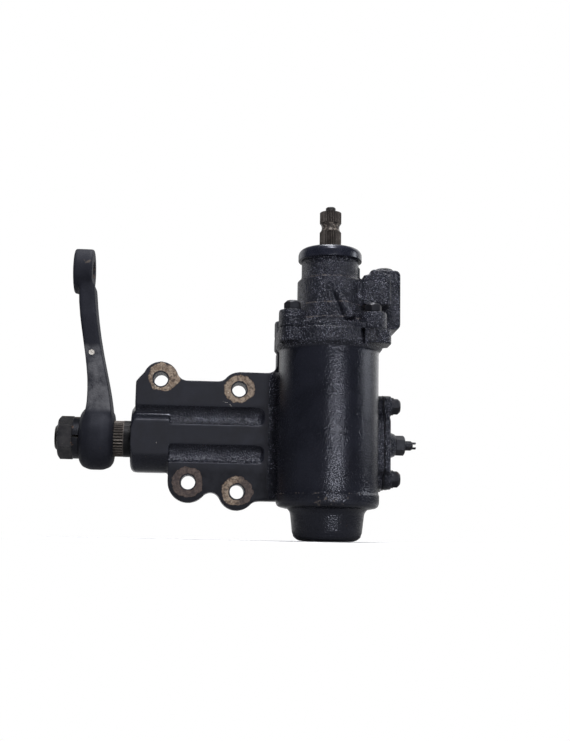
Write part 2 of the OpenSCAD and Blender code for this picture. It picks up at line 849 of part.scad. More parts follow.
module valve_housing() {
  lug_outline = concat(
    [[lug_root, front_lug_z0], [lug_right, front_lug_z0], [lug_right, front_lug_z1 - lug_slope]],
    arc([lug_left + lug_round, front_lug_z1 - lug_round], lug_round, lug_turn, 180, 5),
    [[lug_root, front_lug_z1 - lug_slope]]);
  color([0.13, 0.13, 0.15])
    difference() {
      union() {
        on_worm(spigot_low_z, joint_z, spigot_r);
        on_worm(joint_z, joint_z + valve_flange_t, valve_flange_r);
        on_worm(joint_z, ledge_z, ledge_r);
        cone_on_worm(ledge_z, ledge_z + step_cham, ledge_r, skirt_r + skirt_flare);
        cone_on_worm(joint_z + valve_flange_t, skirt_top_z, skirt_r + skirt_flare, skirt_r);
        cone_on_worm(skirt_top_z, skirt_top_z + step_cham, skirt_r, valve_r);
        on_worm(joint_z, body_top_z, valve_r);
        cone_on_worm(body_top_z, body_top_z + 2 * step_cham, valve_r - step_cham, neck_r);
        on_worm(joint_z, neck_top_z, neck_r);
        at_joint_bolts()
          cylinder(h = joint_bolt_grip, r = lug_r);
        plate_xz(block_y0, block_y1, concat(
          [[block_x0, block_z0], [block_x1 - block_round, block_z0]],
          arc([block_x1 - block_round, block_z0 + block_round], block_round, -90, 0, 4),
          arc([block_x1 - block_round, block_z1 - block_round], block_round, 0, 90, 4),
          [[block_x0 + lug_round, block_z1], [block_x0, block_z1 - lug_round]]));
        span([worm_x, wall_y0, front_lug_z0], [block_x0 + cut, wall_y1, body_top_z]);
        plate_xz(front_lug_y0, block_y0 + cut, lug_outline);
        translate([dome_x, block_y0 + dome_r + dome_set, block_z1 - cut])
          cylinder(h = dome_z1 - block_z1 + cut, r1 = dome_r, r2 = dome_r - dome_draft);
        span([worm_x, worm_y - key_w * half, body_top_z],
          [key_x, worm_y + key_w * half, body_top_z + key_h]);
        translate([worm_x + rib_low_x, rib_y, joint_z + rib_low_h])
          rotate([-rib_tilt, -rib_lean, 0]) {
            cylinder(h = rib_len, r = rib_r);
            translate([0, 0, rib_len])
              sphere(r = rib_r);
            translate([-rib_side, 0, 0])
              cube([2 * rib_side, rib_depth, rib_len + rib_side]);
          }
      }
      on_worm(spigot_low_z - cut, brg_z1, brg_out_r + fit);
      on_worm(brg_z1 - cut, body_top_z + cut, sleeve_bore_r);
      on_worm(body_top_z, in_brg_z0 + in_brg_len + cut, in_brg_r + fit);
      on_worm(in_seal_z0 - half, neck_top_z + cut, in_seal_r + fit);
      on_worm(snap_z, snap_z + snap_t + ring_play, snap_r + ring_play);
      translate([worm_x, worm_y, o_ring_z])
        rotate_extrude()
          translate([spigot_r, 0])
            square([2 * o_ring_groove_d, o_ring_groove_h], center = true);
      at_joint_bolts()
        translate([0, 0, -cut])
          cylinder(h = joint_bolt_grip + 2 * cut, r = bolt_r + hole_gap);
      along_x(block_x1 - port_thread, block_x1 + cut, port_y, pressure_z, pressure_r);
      along_x(block_x1 - port_depth, block_x1 - port_thread + cut, port_y, pressure_z, pilot_r);
      along_x(worm_x, block_x1 - port_depth + cut, port_y, pressure_z, gallery_r);
      along_x(block_x1 - port_spot_d, block_x1 + cut, port_y, pressure_z, pressure_spot_r);
      along_x(block_x1 - port_thread, block_x1 + cut, port_y, return_z, return_r);
      along_x(block_x1 - port_depth, block_x1 - port_thread + cut, port_y, return_z, pilot_r);
      along_x(worm_x, block_x1 - port_depth + cut, port_y, return_z, gallery_r);
      along_x(block_x1 - port_spot_d, block_x1 + cut, port_y, return_z, return_spot_r);
    }
}

module side_cover() {
  color([0.13, 0.13, 0.15])
    difference() {
      union() {
        cover_outline_solid(cover_in_x, cover_face_x);
        at_cover_bolts(cover_in_x)
          cylinder(h = cover_lug_t, r = cover_lug_r);
        cone_on_sector(cover_face_x - cut, cone_x, cone_r1, cone_r2);
        on_sector(bush_x0, cover_in_x + cut, cover_hub_r);
      }
      on_sector(bush_x0 - cut, bush_x1, bush_r);
      on_sector(bush_x1 - cut, cone_x + cut, adj_r + fit);
      at_cover_bolts(cover_in_x - cut)
        cylinder(h = cover_lug_t + 2 * cut, r = bolt_r + hole_gap);
    }
}

module side_cover_gasket() {
  color([0.3, 0.28, 0.24])
    difference() {
      cover_outline_solid(cover_x, cover_in_x);
      on_sector(cover_x - cut, cover_in_x + cut, cavity_r);
      at_cover_bolts(cover_x - cut)
        cylinder(h = gasket_t + 2 * cut, r = bolt_r + hole_gap);
    }
}

module side_cover_bolts() {
  color([0.14, 0.14, 0.15])
    at_cover_bolts(cover_in_x + cover_lug_t)
      hex_bolt(cover_lug_t + gasket_t + cover_bolt_reach, washer_r, washer_t, cover_head_t, cover_hex_turn);
}

module valve_housing_bolts() {
  color([0.14, 0.14, 0.15])
    at_joint_bolts()
      translate([0, 0, joint_bolt_grip])
        hex_bolt(joint_bolt_grip + joint_bolt_reach, head_seat_r, head_seat_t, joint_head_t, joint_hex_turn);
}

module valve_housing_o_ring() {
  color([0.05, 0.05, 0.05])
    translate([worm_x, worm_y, o_ring_z])
      rotate_extrude()
        translate([o_ring_path_r, 0])
          circle(r = o_ring_r);
}

module adjusting_screw() {
  color([0.35, 0.35, 0.36])
    difference() {
      union() {
        on_sector(adj_head_x, adj_head_x + adj_head_t, adj_head_r);
        on_sector(adj_head_x, dog_x, adj_r);
        cone_on_sector(dog_x, adj_tip_x - slot_d, adj_r, dog_r);
        on_sector(adj_tip_x - slot_d, adj_tip_x, dog_r);
      }
      span([adj_tip_x - slot_d, sector_y - adjuster_d, -slot_w / 2],
        [adj_tip_x + cut, sector_y + adjuster_d, slot_w / 2]);
    }
}

module adjuster_lock_nut() {
  color([0.25, 0.25, 0.26])
    translate([cone_x, sector_y, 0])
      rotate([0, 90, 0])
        difference() {
          hex_prism(lock_nut_r, lock_nut_t, hex_cham, hex_fall);
          translate([0, 0, -cut])
            cylinder(h = lock_nut_t + 2 * cut, r = adj_r + fit);
        }
}

module gallery_plug() {
  color([0.2, 0.2, 0.21])
    along_y(gallery_x, gallery_z, gallery_face_y + plug_set,
      gallery_face_y + gallery_depth, gallery_plug_r);
}

module port_seats() {
  color([0.72, 0.6, 0.3])
    for (z = [pressure_z, return_z])
      difference() {
        along_x(block_x1 - port_depth, block_x1 - port_depth + seat_h, port_y, z, seat_r);
        along_x(block_x1 - port_depth - cut, block_x1 - port_depth + seat_h + cut, port_y, z, seat_hole_r);
      }
}

module sector_bearing_shells() {
  color([0.55, 0.55, 0.56])
    for (x = [bearing_a_x, bearing_b_x])
      difference() {
        on_sector(x, x + bearing_len, shaft_bore_r);
        on_sector(x + shell_lip, x + bearing_len - shell_lip, shell_in_r);
        on_sector(x - cut, x + bearing_len + cut, sector_r + lip_gap);
      }
}

module sector_bearing_rollers() {
  color([0.62, 0.62, 0.63])
    for (x = [bearing_a_x, bearing_b_x])
      for (i = [0:roller_n - 1])
        along_x(x + shell_lip + ring_play, x + bearing_len - shell_lip - ring_play,
          sector_y + roller_path_r * cos(360 * i / roller_n),
          roller_path_r * sin(360 * i / roller_n), roller_r);
}

module sector_oil_seal() {
  color([0.08, 0.07, 0.07])
    ring_on_sector(ring_groove_x1, boss_x + seal_depth, sector_r, seal_bore_r);
}

module sector_snap_ring() {
  color([0.4, 0.4, 0.41])
    difference() {
      ring_on_sector(ring_groove_x0 + ring_play, ring_groove_x1, seal_bore_r - ring_width,
        seal_bore_r + ring_groove_d - ring_play);
      span([boss_x, sector_y - ring_opening, -boss_r], [boss_x + seal_depth, sector_y + ring_opening, 0]);
    }
}

module sector_dust_seal() {
  color([0.07, 0.07, 0.07])
    ring_on_sector(boss_x + dust_seal_set, ring_groove_x0, sector_r, seal_bore_r);
}

module cover_bush() {
  color([0.7, 0.58, 0.34])
    ring_on_sector(bush_x0 + bush_set, bush_x1 - bush_set, journal_r + fit, bush_r);
}

module bearing_track() {
  translate([worm_x, worm_y, (brg_z0 + brg_z1) / 2])
    rotate_extrude()
      translate([brg_ball_path_r, 0])
        circle(r = brg_groove_r);
}

module worm_bearing_outer_race() {
  color([0.6, 0.6, 0.61])
    difference() {
      ring_on_worm(brg_z0, brg_z1, brg_out_in_r, brg_out_r + fit);
      bearing_track();
    }
}

module worm_bearing_balls() {
  color([0.7, 0.7, 0.71])
    for (i = [0:brg_ball_n - 1])
      translate([worm_x, worm_y, (brg_z0 + brg_z1) / 2])
        rotate([0, 0, 360 * i / brg_ball_n])
          translate([brg_ball_path_r, 0, 0])
            sphere(r = brg_ball_r);
}

module worm_bearing_lock_ring() {
  color([0.3, 0.3, 0.31])
    ring_on_worm(lock_ring_z, brg_z0, lock_ring_in_r, brg_out_r + fit);
}

module input_bearing_shell() {
  color([0.55, 0.55, 0.56])
    difference() {
      on_worm(in_brg_z0, in_brg_z0 + in_brg_len, in_brg_r + fit);
      on_worm(in_brg_z0 + shell_lip, in_brg_z0 + in_brg_len - shell_lip, in_shell_in_r);
      on_worm(in_brg_z0 - cut, in_brg_z0 + in_brg_len + cut, in_journal_r + lip_gap);
    }
}

module input_bearing_rollers() {
  color([0.62, 0.62, 0.63])
    for (i = [0:in_roller_n - 1])
      translate([worm_x + in_roller_path_r * cos(360 * i / in_roller_n),
        worm_y + in_roller_path_r * sin(360 * i / in_roller_n), in_brg_z0 + shell_lip + ring_play])
        cylinder(h = in_brg_len - 2 * shell_lip - 2 * ring_play, r = in_roller_r);
}

module input_oil_seal() {
  color([0.08, 0.07, 0.07])
    ring_on_worm(in_seal_z0, in_seal_z0 + in_seal_h, in_journal_r + fit, in_seal_r + fit);
}

module input_snap_ring() {
  color([0.4, 0.4, 0.41])
    difference() {
      ring_on_worm(snap_z, snap_z + snap_t, snap_in_r, snap_r);
      span([worm_x - ring_opening, worm_y, snap_z - cut],
        [worm_x + ring_opening, worm_y + snap_r + cut, snap_z + snap_t + cut]);
    }
}

module dust_cover() {
  outer = arc([dust_r - dust_round, dust_low_z + dust_skirt], dust_round, 0, 80, 6);
  color([0.05, 0.05, 0.055])
    translate([worm_x, worm_y, 0])
      rotate_extrude()
        polygon(concat(
          [[neck_r, dust_low_z], [dust_r - dust_cham, dust_low_z], [dust_r, dust_low_z + dust_cham]],
          outer,
          [[in_journal_r + dust_lip, dust_top_z], [in_journal_r + fit, dust_top_z],
            [in_journal_r + fit, dust_top_z - dust_lip], [in_journal_r + dust_lip, neck_top_z],
            [neck_r, neck_top_z]]));
}

// Sector body

// One involute tooth pointing along +x, from the hub to the tip.
function involute_x(r) = acos(base_r / r);
function involute_angle(r) = tan(involute_x(r)) * 180 / PI - involute_x(r);
tooth_half_angle = (rack_pitch / 2 - backlash) / 2 / pitch_r * 180 / PI + involute_angle(pitch_r);
function flank(s, n) =
  [for (i = [0:n])
    let (r = flank_r0 + (tip_r - flank_r0) * i / n, a = s * (tooth_half_angle - involute_angle(r)))
      [r * cos(a), r * sin(a)]];
function reversed(v) = [for (i = [len(v) - 1:-1:0]) v[i]];
function tooth_outline() = concat(
  [[0, 0], root_r * half * [cos(tooth_half_angle), -sin(tooth_half_angle)]],
  flank(-1, 7), reversed(flank(1, 7)),
  [root_r * half * [cos(tooth_half_angle), sin(tooth_half_angle)]]);

module sector_shaft() {
  color([0.5, 0.5, 0.51])
    difference() {
      union() {
        on_sector(shaft_end_x + shaft_cham, arm_x0 + hub_cham, thread_r);
        cone_on_sector(shaft_end_x, shaft_end_x + shaft_cham, thread_r - shaft_cham, thread_r);
        translate([arm_x0 + shaft_cham, sector_y, 0])
          rotate([0, 90, 0])
            linear_extrude(height = serration_x1 - arm_x0 - shaft_cham)
              polygon(star(serration_n, serration_r, serration_root_r));
        on_sector(serration_x1, gear_x0, sector_r - fit);
        on_sector(gear_x0, gear_x1, root_r);
        on_sector(gear_x1, journal_x, journal_r);
        for (a = [-1, 0, 1])
          translate([gear_x0, sector_y, 0])
            rotate([-90 + 360 * a / sector_teeth_full, 0, 0])
              rotate([0, 90, 0])
                linear_extrude(height = gear_w)
                  polygon(tooth_outline());
      }
      on_sector(pocket_x, journal_x + cut, pocket_r);
    }
}

// Side shape of the arm shank, drawn along the sector axis and height.
module arm_shank() {
  left = curve([[shank_eye_x0, arm_length - eye_r], [shank_eye_x0 + left_lean, arm_length - left_pull],
    [shank_hub_x0 + left_swell, shank_pull], [shank_hub_x0, left_start_z]], shank_steps);
  right = curve([[shank_hub_x1, right_start_z], [shank_hub_x1 - right_swell, shank_pull],
    [shank_eye_x1 + right_lean, arm_length - right_pull],
    [shank_eye_x1, arm_length - shank_root]], shank_steps);
  foot = [[shank_hub_x0, hub_cham], [shank_hub_x1, hub_cham]];
  neck = [[eye_x1 - hub_cham, arm_length - eye_r * half], [shank_eye_x0, arm_length - eye_r * half]];
  front = [[sector_y - shank_eye_w / 2, arm_length], [sector_y + shank_eye_w / 2, arm_length],
    [sector_y + shank_hub_w / 2, 0], [sector_y - shank_hub_w / 2, 0]];
  intersection() {
    plate_xz(sector_y - hub_r, sector_y + hub_r, concat(left, foot, right, neck));
    translate([eye_x0 - eye_t, 0, 0])
      rotate([90, 0, 90])
        linear_extrude(height = hub_t + eye_t + eye_offset)
          polygon(front);
  }
}

module pitman_arm() {
  color([0.1, 0.1, 0.11])
    difference() {
      union() {
        cone_on_sector(arm_x0, arm_x0 + hub_end_t, hub_r - hub_end_d, hub_r - hub_mid_d);
        cone_on_sector(arm_x0 + hub_end_t, arm_x0 + hub_mid_t, hub_r - hub_mid_d, hub_r);
        on_sector(arm_x0 + hub_mid_t, arm_x1 - hub_mid_t, hub_r);
        cone_on_sector(arm_x1 - hub_mid_t, arm_x1 - hub_end_t, hub_r, hub_r - hub_mid_d);
        cone_on_sector(arm_x1 - hub_end_t, arm_x1, hub_r - hub_mid_d, hub_r - hub_end_d);
        translate([0, 0, arm_length])
          on_sector(eye_x0, eye_x1, eye_r);
        arm_shank();
      }
      translate([arm_x0 - cut, sector_y, 0])
        rotate([0, 90, 0])
          linear_extrude(height = hub_t + 2 * cut)
            polygon(star(serration_n, serration_r + serration_gap, serration_root_r + serration_gap));
      translate([0, 0, arm_length])
        cone_on_sector(eye_x0 - cut, eye_x1 + cut, taper_d / 2 - cut / taper_ratio,
          taper_d / 2 + (eye_t + cut) / taper_ratio);
    }
}

module pitman_nut() {
  color([0.12, 0.12, 0.13])
    translate([nut_x1, sector_y, 0])
      rotate([0, -90, 0])
        difference() {
          hex_prism(nut_r, nut_t, nut_cham, nut_fall);
          translate([0, 0, -cut])
            cylinder(h = nut_t + 2 * cut, r = thread_r + fit);
        }
}

module pitman_lock_washer() {
  color([0.14, 0.14, 0.15])
    difference() {
      ring_on_sector(nut_x1, arm_x0, thread_r + washer_gap, lock_washer_r);
      translate([nut_x1, sector_y, 0])
        rotate([0, 0, split_angle])
          span([-lock_washer_t, -lock_washer_r - cut, -split_w / 2], [lock_washer_t * 2, 0, split_w / 2]);
    }
}

module adjuster_retainer() {
  color([0.45, 0.45, 0.46])
    ring_on_sector(retainer_x0, retainer_x0 + retainer_t, retainer_hole_r, pocket_r);
}

// Piston body

// Gap of the rack, drawn from the root outward, at the given height.
module rack_gap(z) {
  root = rack_line - addendum - root_gap;
  tip = rack_line + addendum + cut;
  mid = rack_pitch / 4;
  slope = tan(pressure_angle);
  low = mid - (rack_line - root) * slope;
  high = mid + (tip - rack_line) * slope;
  translate([worm_x - bore_r, worm_y, z])
    rotate([90, 0, 90])
      linear_extrude(height = bore_d)
        polygon([[root, -low], [tip, -high], [tip, high], [root, low]]);
}

module rack_piston() {
  flat_y = worm_y + rack_line + addendum;
  color([0.55, 0.55, 0.56])
    difference() {
      union() {
        on_worm(piston_low_z, piston_top_z - end_cham, piston_r);
        cone_on_worm(piston_top_z - end_cham, piston_top_z, piston_r, piston_r - end_cham);
        on_worm(nose_low_z, piston_low_z + cut, nose_r);
      }
      span([worm_x - bore_r, flat_y, piston_low_z - cut], [worm_x + bore_r, flat_y + bore_r, rack_flat_z]);
      for (k = [-1, 0, 1])
        rack_gap(k * rack_pitch);
      on_worm(plug_z, piston_top_z + cut, nut_bore_r);
      on_worm(nose_low_z - cut, plug_z + half, plug_r);
      difference() {
        on_worm(ring_z, ring_z + ring_h, bore_r + cut);
        on_worm(ring_z - cut, ring_z + ring_h + cut, piston_r - ring_depth);
      }
      ball_track(-guide_z - track_over, guide_z + track_over);
      span([worm_x - pocket_half_x, worm_y - bore_d, -pocket_half_z],
        [worm_x + pocket_half_x, worm_y - pocket_floor, pocket_half_z]);
      for (s = [-1, 1])
        along_y(worm_x, s * guide_z, worm_y - guide_y, worm_y - ball_path_r, guide_r + fit);
      for (s = [-1, 1])
        along_y(worm_x + s * screw_x, 0, worm_y - guide_y,
          worm_y - pocket_floor + screw_len, screw_r + thread_gap);
    }
}

module piston_ring() {
  color([0.1, 0.1, 0.1])
    ring_on_worm(ring_z + ring_gap, ring_z + ring_h - ring_gap, piston_r - ring_depth, bore_r - ring_gap);
}

module piston_plug() {
  color([0.45, 0.45, 0.46])
    on_worm(nose_low_z + plug_set, plug_z + half, plug_r);
}

module recirculating_balls() {
  path_turn = sqrt(pow(2 * PI * ball_path_r, 2) + pow(worm_lead, 2));
  n = floor(path_turn * ball_turns / ball_pitch);
  color([0.75, 0.75, 0.76])
    union() {
      for (i = [0:n])
        let (z = -guide_z + 2 * guide_z * i / n, a = 360 * z / worm_lead - 90)
          translate([worm_x + ball_path_r * cos(a), worm_y + ball_path_r * sin(a), z])
            sphere(r = ball_r);
      for (s = [-1, 0, 1])
        translate([worm_x, worm_y - guide_y, s * return_ball_z])
          sphere(r = ball_r);
    }
}

module ball_guide_tube() {
  color([0.6, 0.6, 0.61])
    difference() {
      union() {
        translate([worm_x, worm_y - guide_y, -guide_z])
          cylinder(h = 2 * guide_z, r = guide_r);
        for (s = [-1, 1])
          translate([worm_x, worm_y - guide_y, s * guide_z])
            sphere(r = guide_r);
        for (s = [-1, 1])
          along_y(worm_x, s * guide_z, worm_y - guide_y, worm_y - ball_path_r - guide_stop, guide_r);
      }
      translate([worm_x, worm_y - guide_y, -guide_z])
        cylinder(h = 2 * guide_z, r = guide_in_r);
      for (s = [-1, 1])
        translate([worm_x, worm_y - guide_y, s * guide_z])
          sphere(r = guide_in_r);
      for (s = [-1, 1])
        along_y(worm_x, s * guide_z, worm_y - guide_y, worm_y - ball_path_r + cut, guide_in_r);
    }
}

module ball_guide_clamp() {
  color([0.5, 0.5, 0.51])
    difference() {
      union() {
        translate([worm_x, worm_y - guide_y, -clamp_half_z])
          cylinder(h = 2 * clamp_half_z, r = guide_r + clamp_t);
        span([worm_x - clamp_x, worm_y - pocket_floor - clamp_t, -clamp_half_z],
          [worm_x + clamp_x, worm_y - pocket_floor, clamp_half_z]);
        span([worm_x - guide_r - clamp_t, worm_y - guide_y, -clamp_half_z],
          [worm_x + guide_r + clamp_t, worm_y - pocket_floor, clamp_half_z]);
      }
      translate([worm_x, worm_y - guide_y, -clamp_half_z - cut])
        cylinder(h = 2 * clamp_half_z + 2 * cut, r = guide_r);
      span([worm_x - guide_r, worm_y - guide_y, -clamp_half_z - cut],
        [worm_x + guide_r, worm_y - pocket_floor + bore_d, clamp_half_z + cut]);
      span([worm_x - clamp_x, worm_y - pocket_floor, -clamp_half_z - cut],
        [worm_x + clamp_x, worm_y, clamp_half_z + cut]);
      for (s = [-1, 1])
        along_y(worm_x + s * screw_x, 0, worm_y - guide_y, worm_y, screw_r + thread_gap);
    }
}

module ball_guide_screws() {
  color([0.4, 0.4, 0.41])
    for (s = [-1, 1])
      union() {
        along_y(worm_x + s * screw_x, 0, worm_y - pocket_floor - clamp_t - screw_head_t,
          worm_y - pocket_floor - clamp_t, screw_head_r);
        along_y(worm_x + s * screw_x, 0, worm_y - pocket_floor - clamp_t - cut,
          worm_y - pocket_floor + screw_len - cut, screw_r);
      }
}

// Worm body

module worm_shaft() {
  color([0.5, 0.5, 0.51])
    difference() {
      union() {
        on_worm(worm_end_z, lock_ring_z, worm_r);
        on_worm(lock_ring_z - cut, worm_flange_z1, brg_in_r);
        on_worm(brg_z1, worm_flange_z1, worm_flange_r);
      }
      ball_track(worm_end_z - 2 * track_over, guide_z + stroke + track_over);
      on_worm(bar_low_z2, worm_flange_z1 + cut, bar_foot_r + fit);
      translate([worm_x, worm_y, 0])
        intersection() {
          translate([0, 0, tongue_z0 - lip_gap])
            cylinder(h = worm_flange_z1, r = recess_r);
          for (a = [-stop_angle, 0, stop_angle])
            rotate([0, 0, a])
              translate([-recess_r - cut, -tongue_w / 2 - recess_gap, tongue_z0 - cut])
                cube([2 * recess_r + 2 * cut, tongue_w + 2 * recess_gap, worm_flange_z1]);
        }
      along_x(worm_x - low_pin_len / 2, worm_x + low_pin_len / 2, worm_y, low_pin_z, pin_r);
      translate([worm_x, worm_y + drive_pin_path, worm_flange_z1 - drive_pin_len / 2])
        cylinder(h = drive_pin_len, r = pin_r);
    }
}

module worm_bearing_inner_race() {
  color([0.6, 0.6, 0.61])
    difference() {
      ring_on_worm(brg_z0, brg_z1, brg_in_r, brg_in_out_r);
      bearing_track();
    }
}

module valve_sleeve() {
  color([0.6, 0.6, 0.61])
    difference() {
      on_worm(sleeve_z0, sleeve_z1, sleeve_r);
      on_worm(sleeve_z0 - cut, sleeve_z1 + cut, spool_r + fit);
      for (z = seal_ring_z)
        difference() {
          on_worm(sleeve_z0 + z - seal_ring_h / 2, sleeve_z0 + z + seal_ring_h / 2, sleeve_r + cut);
          on_worm(sleeve_z0 + z - seal_ring_h, sleeve_z0 + z + seal_ring_h, seal_ring_in_r);
        }
      for (z = oil_groove_z)
        difference() {
          on_worm(sleeve_z0 + z - oil_groove_h / 2, sleeve_z0 + z + oil_groove_h / 2, sleeve_r + cut);
          on_worm(sleeve_z0 + z - oil_groove_h, sleeve_z0 + z + oil_groove_h, oil_groove_r);
        }
      for (z = oil_groove_z)
        for (i = [0:oil_hole_n - 1])
          translate([worm_x, worm_y, sleeve_z0 + z])
            rotate([0, 0, oil_hole_turn + 360 * i / oil_hole_n])
              rotate([0, 90, 0])
                cylinder(h = sleeve_r + cut, r = oil_hole_r);
      translate([worm_x, worm_y + drive_pin_path, worm_flange_z1 - drive_pin_len / 2])
        cylinder(h = drive_pin_len, r = pin_r);
    }
}

module sleeve_seal_rings() {
  color([0.12, 0.11, 0.1])
    for (z = seal_ring_z)
      ring_on_worm(sleeve_z0 + z - seal_ring_h / 2, sleeve_z0 + z + seal_ring_h / 2,
        seal_ring_in_r, sleeve_bore_r - ring_gap);
}

module sleeve_drive_pin() {
  color([0.6, 0.6, 0.61])
    translate([worm_x, worm_y + drive_pin_path, worm_flange_z1 - drive_pin_len / 2])
      cylinder(h = drive_pin_len, r = pin_r);
}

module torsion_bar_lower_pin() {
  color([0.6, 0.6, 0.61])
    along_x(worm_x - low_pin_len / 2, worm_x + low_pin_len / 2, worm_y, low_pin_z, pin_r);
}

// Input body

module input_shaft() {
  color([0.42, 0.39, 0.36])
    difference() {
      union() {
        translate([worm_x, worm_y, 0])
          intersection() {
            translate([0, 0, tongue_z0])
              cylinder(h = worm_flange_z1 + cut - tongue_z0, r = tongue_r);
            translate([-tongue_r - cut, -tongue_w / 2, tongue_z0 - cut])
              cube([2 * tongue_r + 2 * cut, tongue_w, worm_flange_z1]);
          }
        on_worm(worm_flange_z1 + spool_gap, sleeve_z1 + spool_gap, spool_r);
        on_worm(sleeve_z1, dust_top_z - dust_cham, in_journal_r);
        cone_on_worm(dust_top_z - dust_cham, spline_low_z, in_journal_r, spline_r + spline_step);
        translate([worm_x, worm_y, spline_low_z])
          linear_extrude(height = spline_top_z - spline_low_z)
            polygon(star(spline_n, spline_r, spline_r - spline_depth));
      }
      translate([worm_x, worm_y, pinch_z])
        rotate_extrude()
          translate([pinch_min_r + pinch_round, 0])
            circle(r = pinch_round);
      on_worm(tongue_z0 - cut, bar_head_z + cut, bar_foot_r + bar_gap);
      on_worm(bar_head_z, spline_top_z + cut, bar_head_r);
      along_x(worm_x - high_pin_len / 2, worm_x + high_pin_len / 2, worm_y, high_pin_z, pin_r);
    }
}

module torsion_bar() {
  color([0.5, 0.48, 0.45])
    difference() {
      union() {
        on_worm(bar_low_z2, bar_foot_z1, bar_foot_r);
        on_worm(bar_foot_z1 - cut, bar_head_z + 2 * cut, bar_r);
        on_worm(bar_head_z + cut, bar_top_z - bar_head_cham, bar_head_r);
        cone_on_worm(bar_top_z - bar_head_cham, bar_top_z, bar_head_r, bar_head_r - bar_head_cham);
      }
      along_x(worm_x - low_pin_len, worm_x + low_pin_len, worm_y, low_pin_z, pin_r);
      along_x(worm_x - high_pin_len, worm_x + high_pin_len, worm_y, high_pin_z, pin_r);
    }
}

module torsion_bar_upper_pin() {
  color([0.6, 0.6, 0.61])
    along_x(worm_x - high_pin_len / 2, worm_x + high_pin_len / 2, worm_y, high_pin_z, pin_r);
}

gear_housing();
valve_housing();
side_cover();
side_cover_gasket();
side_cover_bolts();
valve_housing_bolts();
valve_housing_o_ring();
adjusting_screw();
adjuster_lock_nut();
gallery_plug();
port_seats();
sector_bearing_shells();
sector_bearing_rollers();
sector_oil_seal();
sector_snap_ring();
sector_dust_seal();
cover_bush();
worm_bearing_outer_race();
worm_bearing_balls();
worm_bearing_lock_ring();
input_bearing_shell();
input_bearing_rollers();
input_oil_seal();
input_snap_ring();
dust_cover();
sector_shaft();
pitman_arm();
pitman_nut();
pitman_lock_washer();
adjuster_retainer();
rack_piston();
piston_ring();
piston_plug();
recirculating_balls();
ball_guide_tube();
ball_guide_clamp();
ball_guide_screws();
worm_shaft();
worm_bearing_inner_race();
valve_sleeve();
sleeve_seal_rings();
sleeve_drive_pin();
torsion_bar_lower_pin();
input_shaft();
torsion_bar();
torsion_bar_upper_pin();
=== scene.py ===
import math

import bmesh
import bpy
import numpy as np
from mathutils import Matrix, Vector


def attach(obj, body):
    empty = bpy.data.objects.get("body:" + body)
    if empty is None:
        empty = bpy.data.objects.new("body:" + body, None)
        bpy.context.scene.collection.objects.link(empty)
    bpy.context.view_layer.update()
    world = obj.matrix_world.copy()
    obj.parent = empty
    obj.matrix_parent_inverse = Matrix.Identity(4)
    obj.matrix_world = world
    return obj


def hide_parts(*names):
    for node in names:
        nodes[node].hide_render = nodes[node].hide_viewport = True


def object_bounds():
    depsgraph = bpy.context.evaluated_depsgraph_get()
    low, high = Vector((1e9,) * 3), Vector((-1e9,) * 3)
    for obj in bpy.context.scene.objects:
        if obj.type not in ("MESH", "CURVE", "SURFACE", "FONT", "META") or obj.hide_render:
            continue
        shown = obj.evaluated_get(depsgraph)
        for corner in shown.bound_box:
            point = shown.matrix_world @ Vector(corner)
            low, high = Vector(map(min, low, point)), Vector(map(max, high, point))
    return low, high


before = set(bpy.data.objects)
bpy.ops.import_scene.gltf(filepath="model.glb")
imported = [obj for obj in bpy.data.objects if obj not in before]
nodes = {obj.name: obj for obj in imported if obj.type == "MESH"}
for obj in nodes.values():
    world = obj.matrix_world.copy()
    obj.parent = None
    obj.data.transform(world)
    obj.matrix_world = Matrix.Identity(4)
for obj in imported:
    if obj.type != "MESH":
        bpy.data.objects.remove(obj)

cad_box = [list(map(float, v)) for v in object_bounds()]
scene = bpy.context.scene

# Stations of the object, in metres
SECTOR_Y, SECTOR_Z = 0.028, 0.0     # sector axis, along X
WORM_X, WORM_Y = 0.112, -0.026      # worm axis, along Z
JOINT_Z = 0.0978                    # joint of the two housings
BORE_REACH = 0.0388                 # radius just past the cylinder's bore
BORE_END_Z = -0.0890                # lower end of the cylinder's bore
BAND_Z = -0.0512                    # step over the band at the cylinder's foot
# LIP_Z also marks where a pale line is painted along the lip as its highlight
LIP_Z = -0.0517                     # worn lip of that band
LEDGES_Z = (0.1087, 0.1228, 0.1484)  # steps of the valve housing
PORT_Y = -0.009
PORTS = ((0.1253, 0.0098), (0.1443, 0.0105))  # height and reach of each port
EYE_Z = 0.163                       # eye of the arm
SERRATION_X1 = -0.0790              # from here on the sector shaft is painted
FAR = 1.0                           # station past the object: leaves an effect out
BORE_ROOM = 0.0006                  # room for the piston in the visible casting
PANEL_DEPTH = 0.0006                # sunk panel on the arm

# Camera at the photograph's place
FOCAL_PX, PHOTO_HEIGHT_PX, SENSOR_MM = 1100.0, 741.0, 36.0
CAMERA_PLACE = (-0.00325, -1.034705, -0.08988)
CAMERA_RIGHT = (0.99693, -0.0762, 0.01812)
CAMERA_UP = (-0.02924, -0.14747, 0.98863)
CAMERA_BACK = (-0.07266, -0.98613, -0.14925)


def make_camera():
    data = bpy.data.cameras.new("camera")
    data.lens = FOCAL_PX * SENSOR_MM / PHOTO_HEIGHT_PX
    data.sensor_width = SENSOR_MM
    data.clip_start = 0.01
    cam = bpy.data.objects.new("camera", data)
    scene.collection.objects.link(cam)
    axes = [Vector(v).normalized() for v in (CAMERA_RIGHT, CAMERA_UP, CAMERA_BACK)]
    turn = Matrix(axes).transposed().to_4x4()
    cam.matrix_world = Matrix.Translation(CAMERA_PLACE) @ turn
    scene.camera = cam


make_camera()


# Node helpers

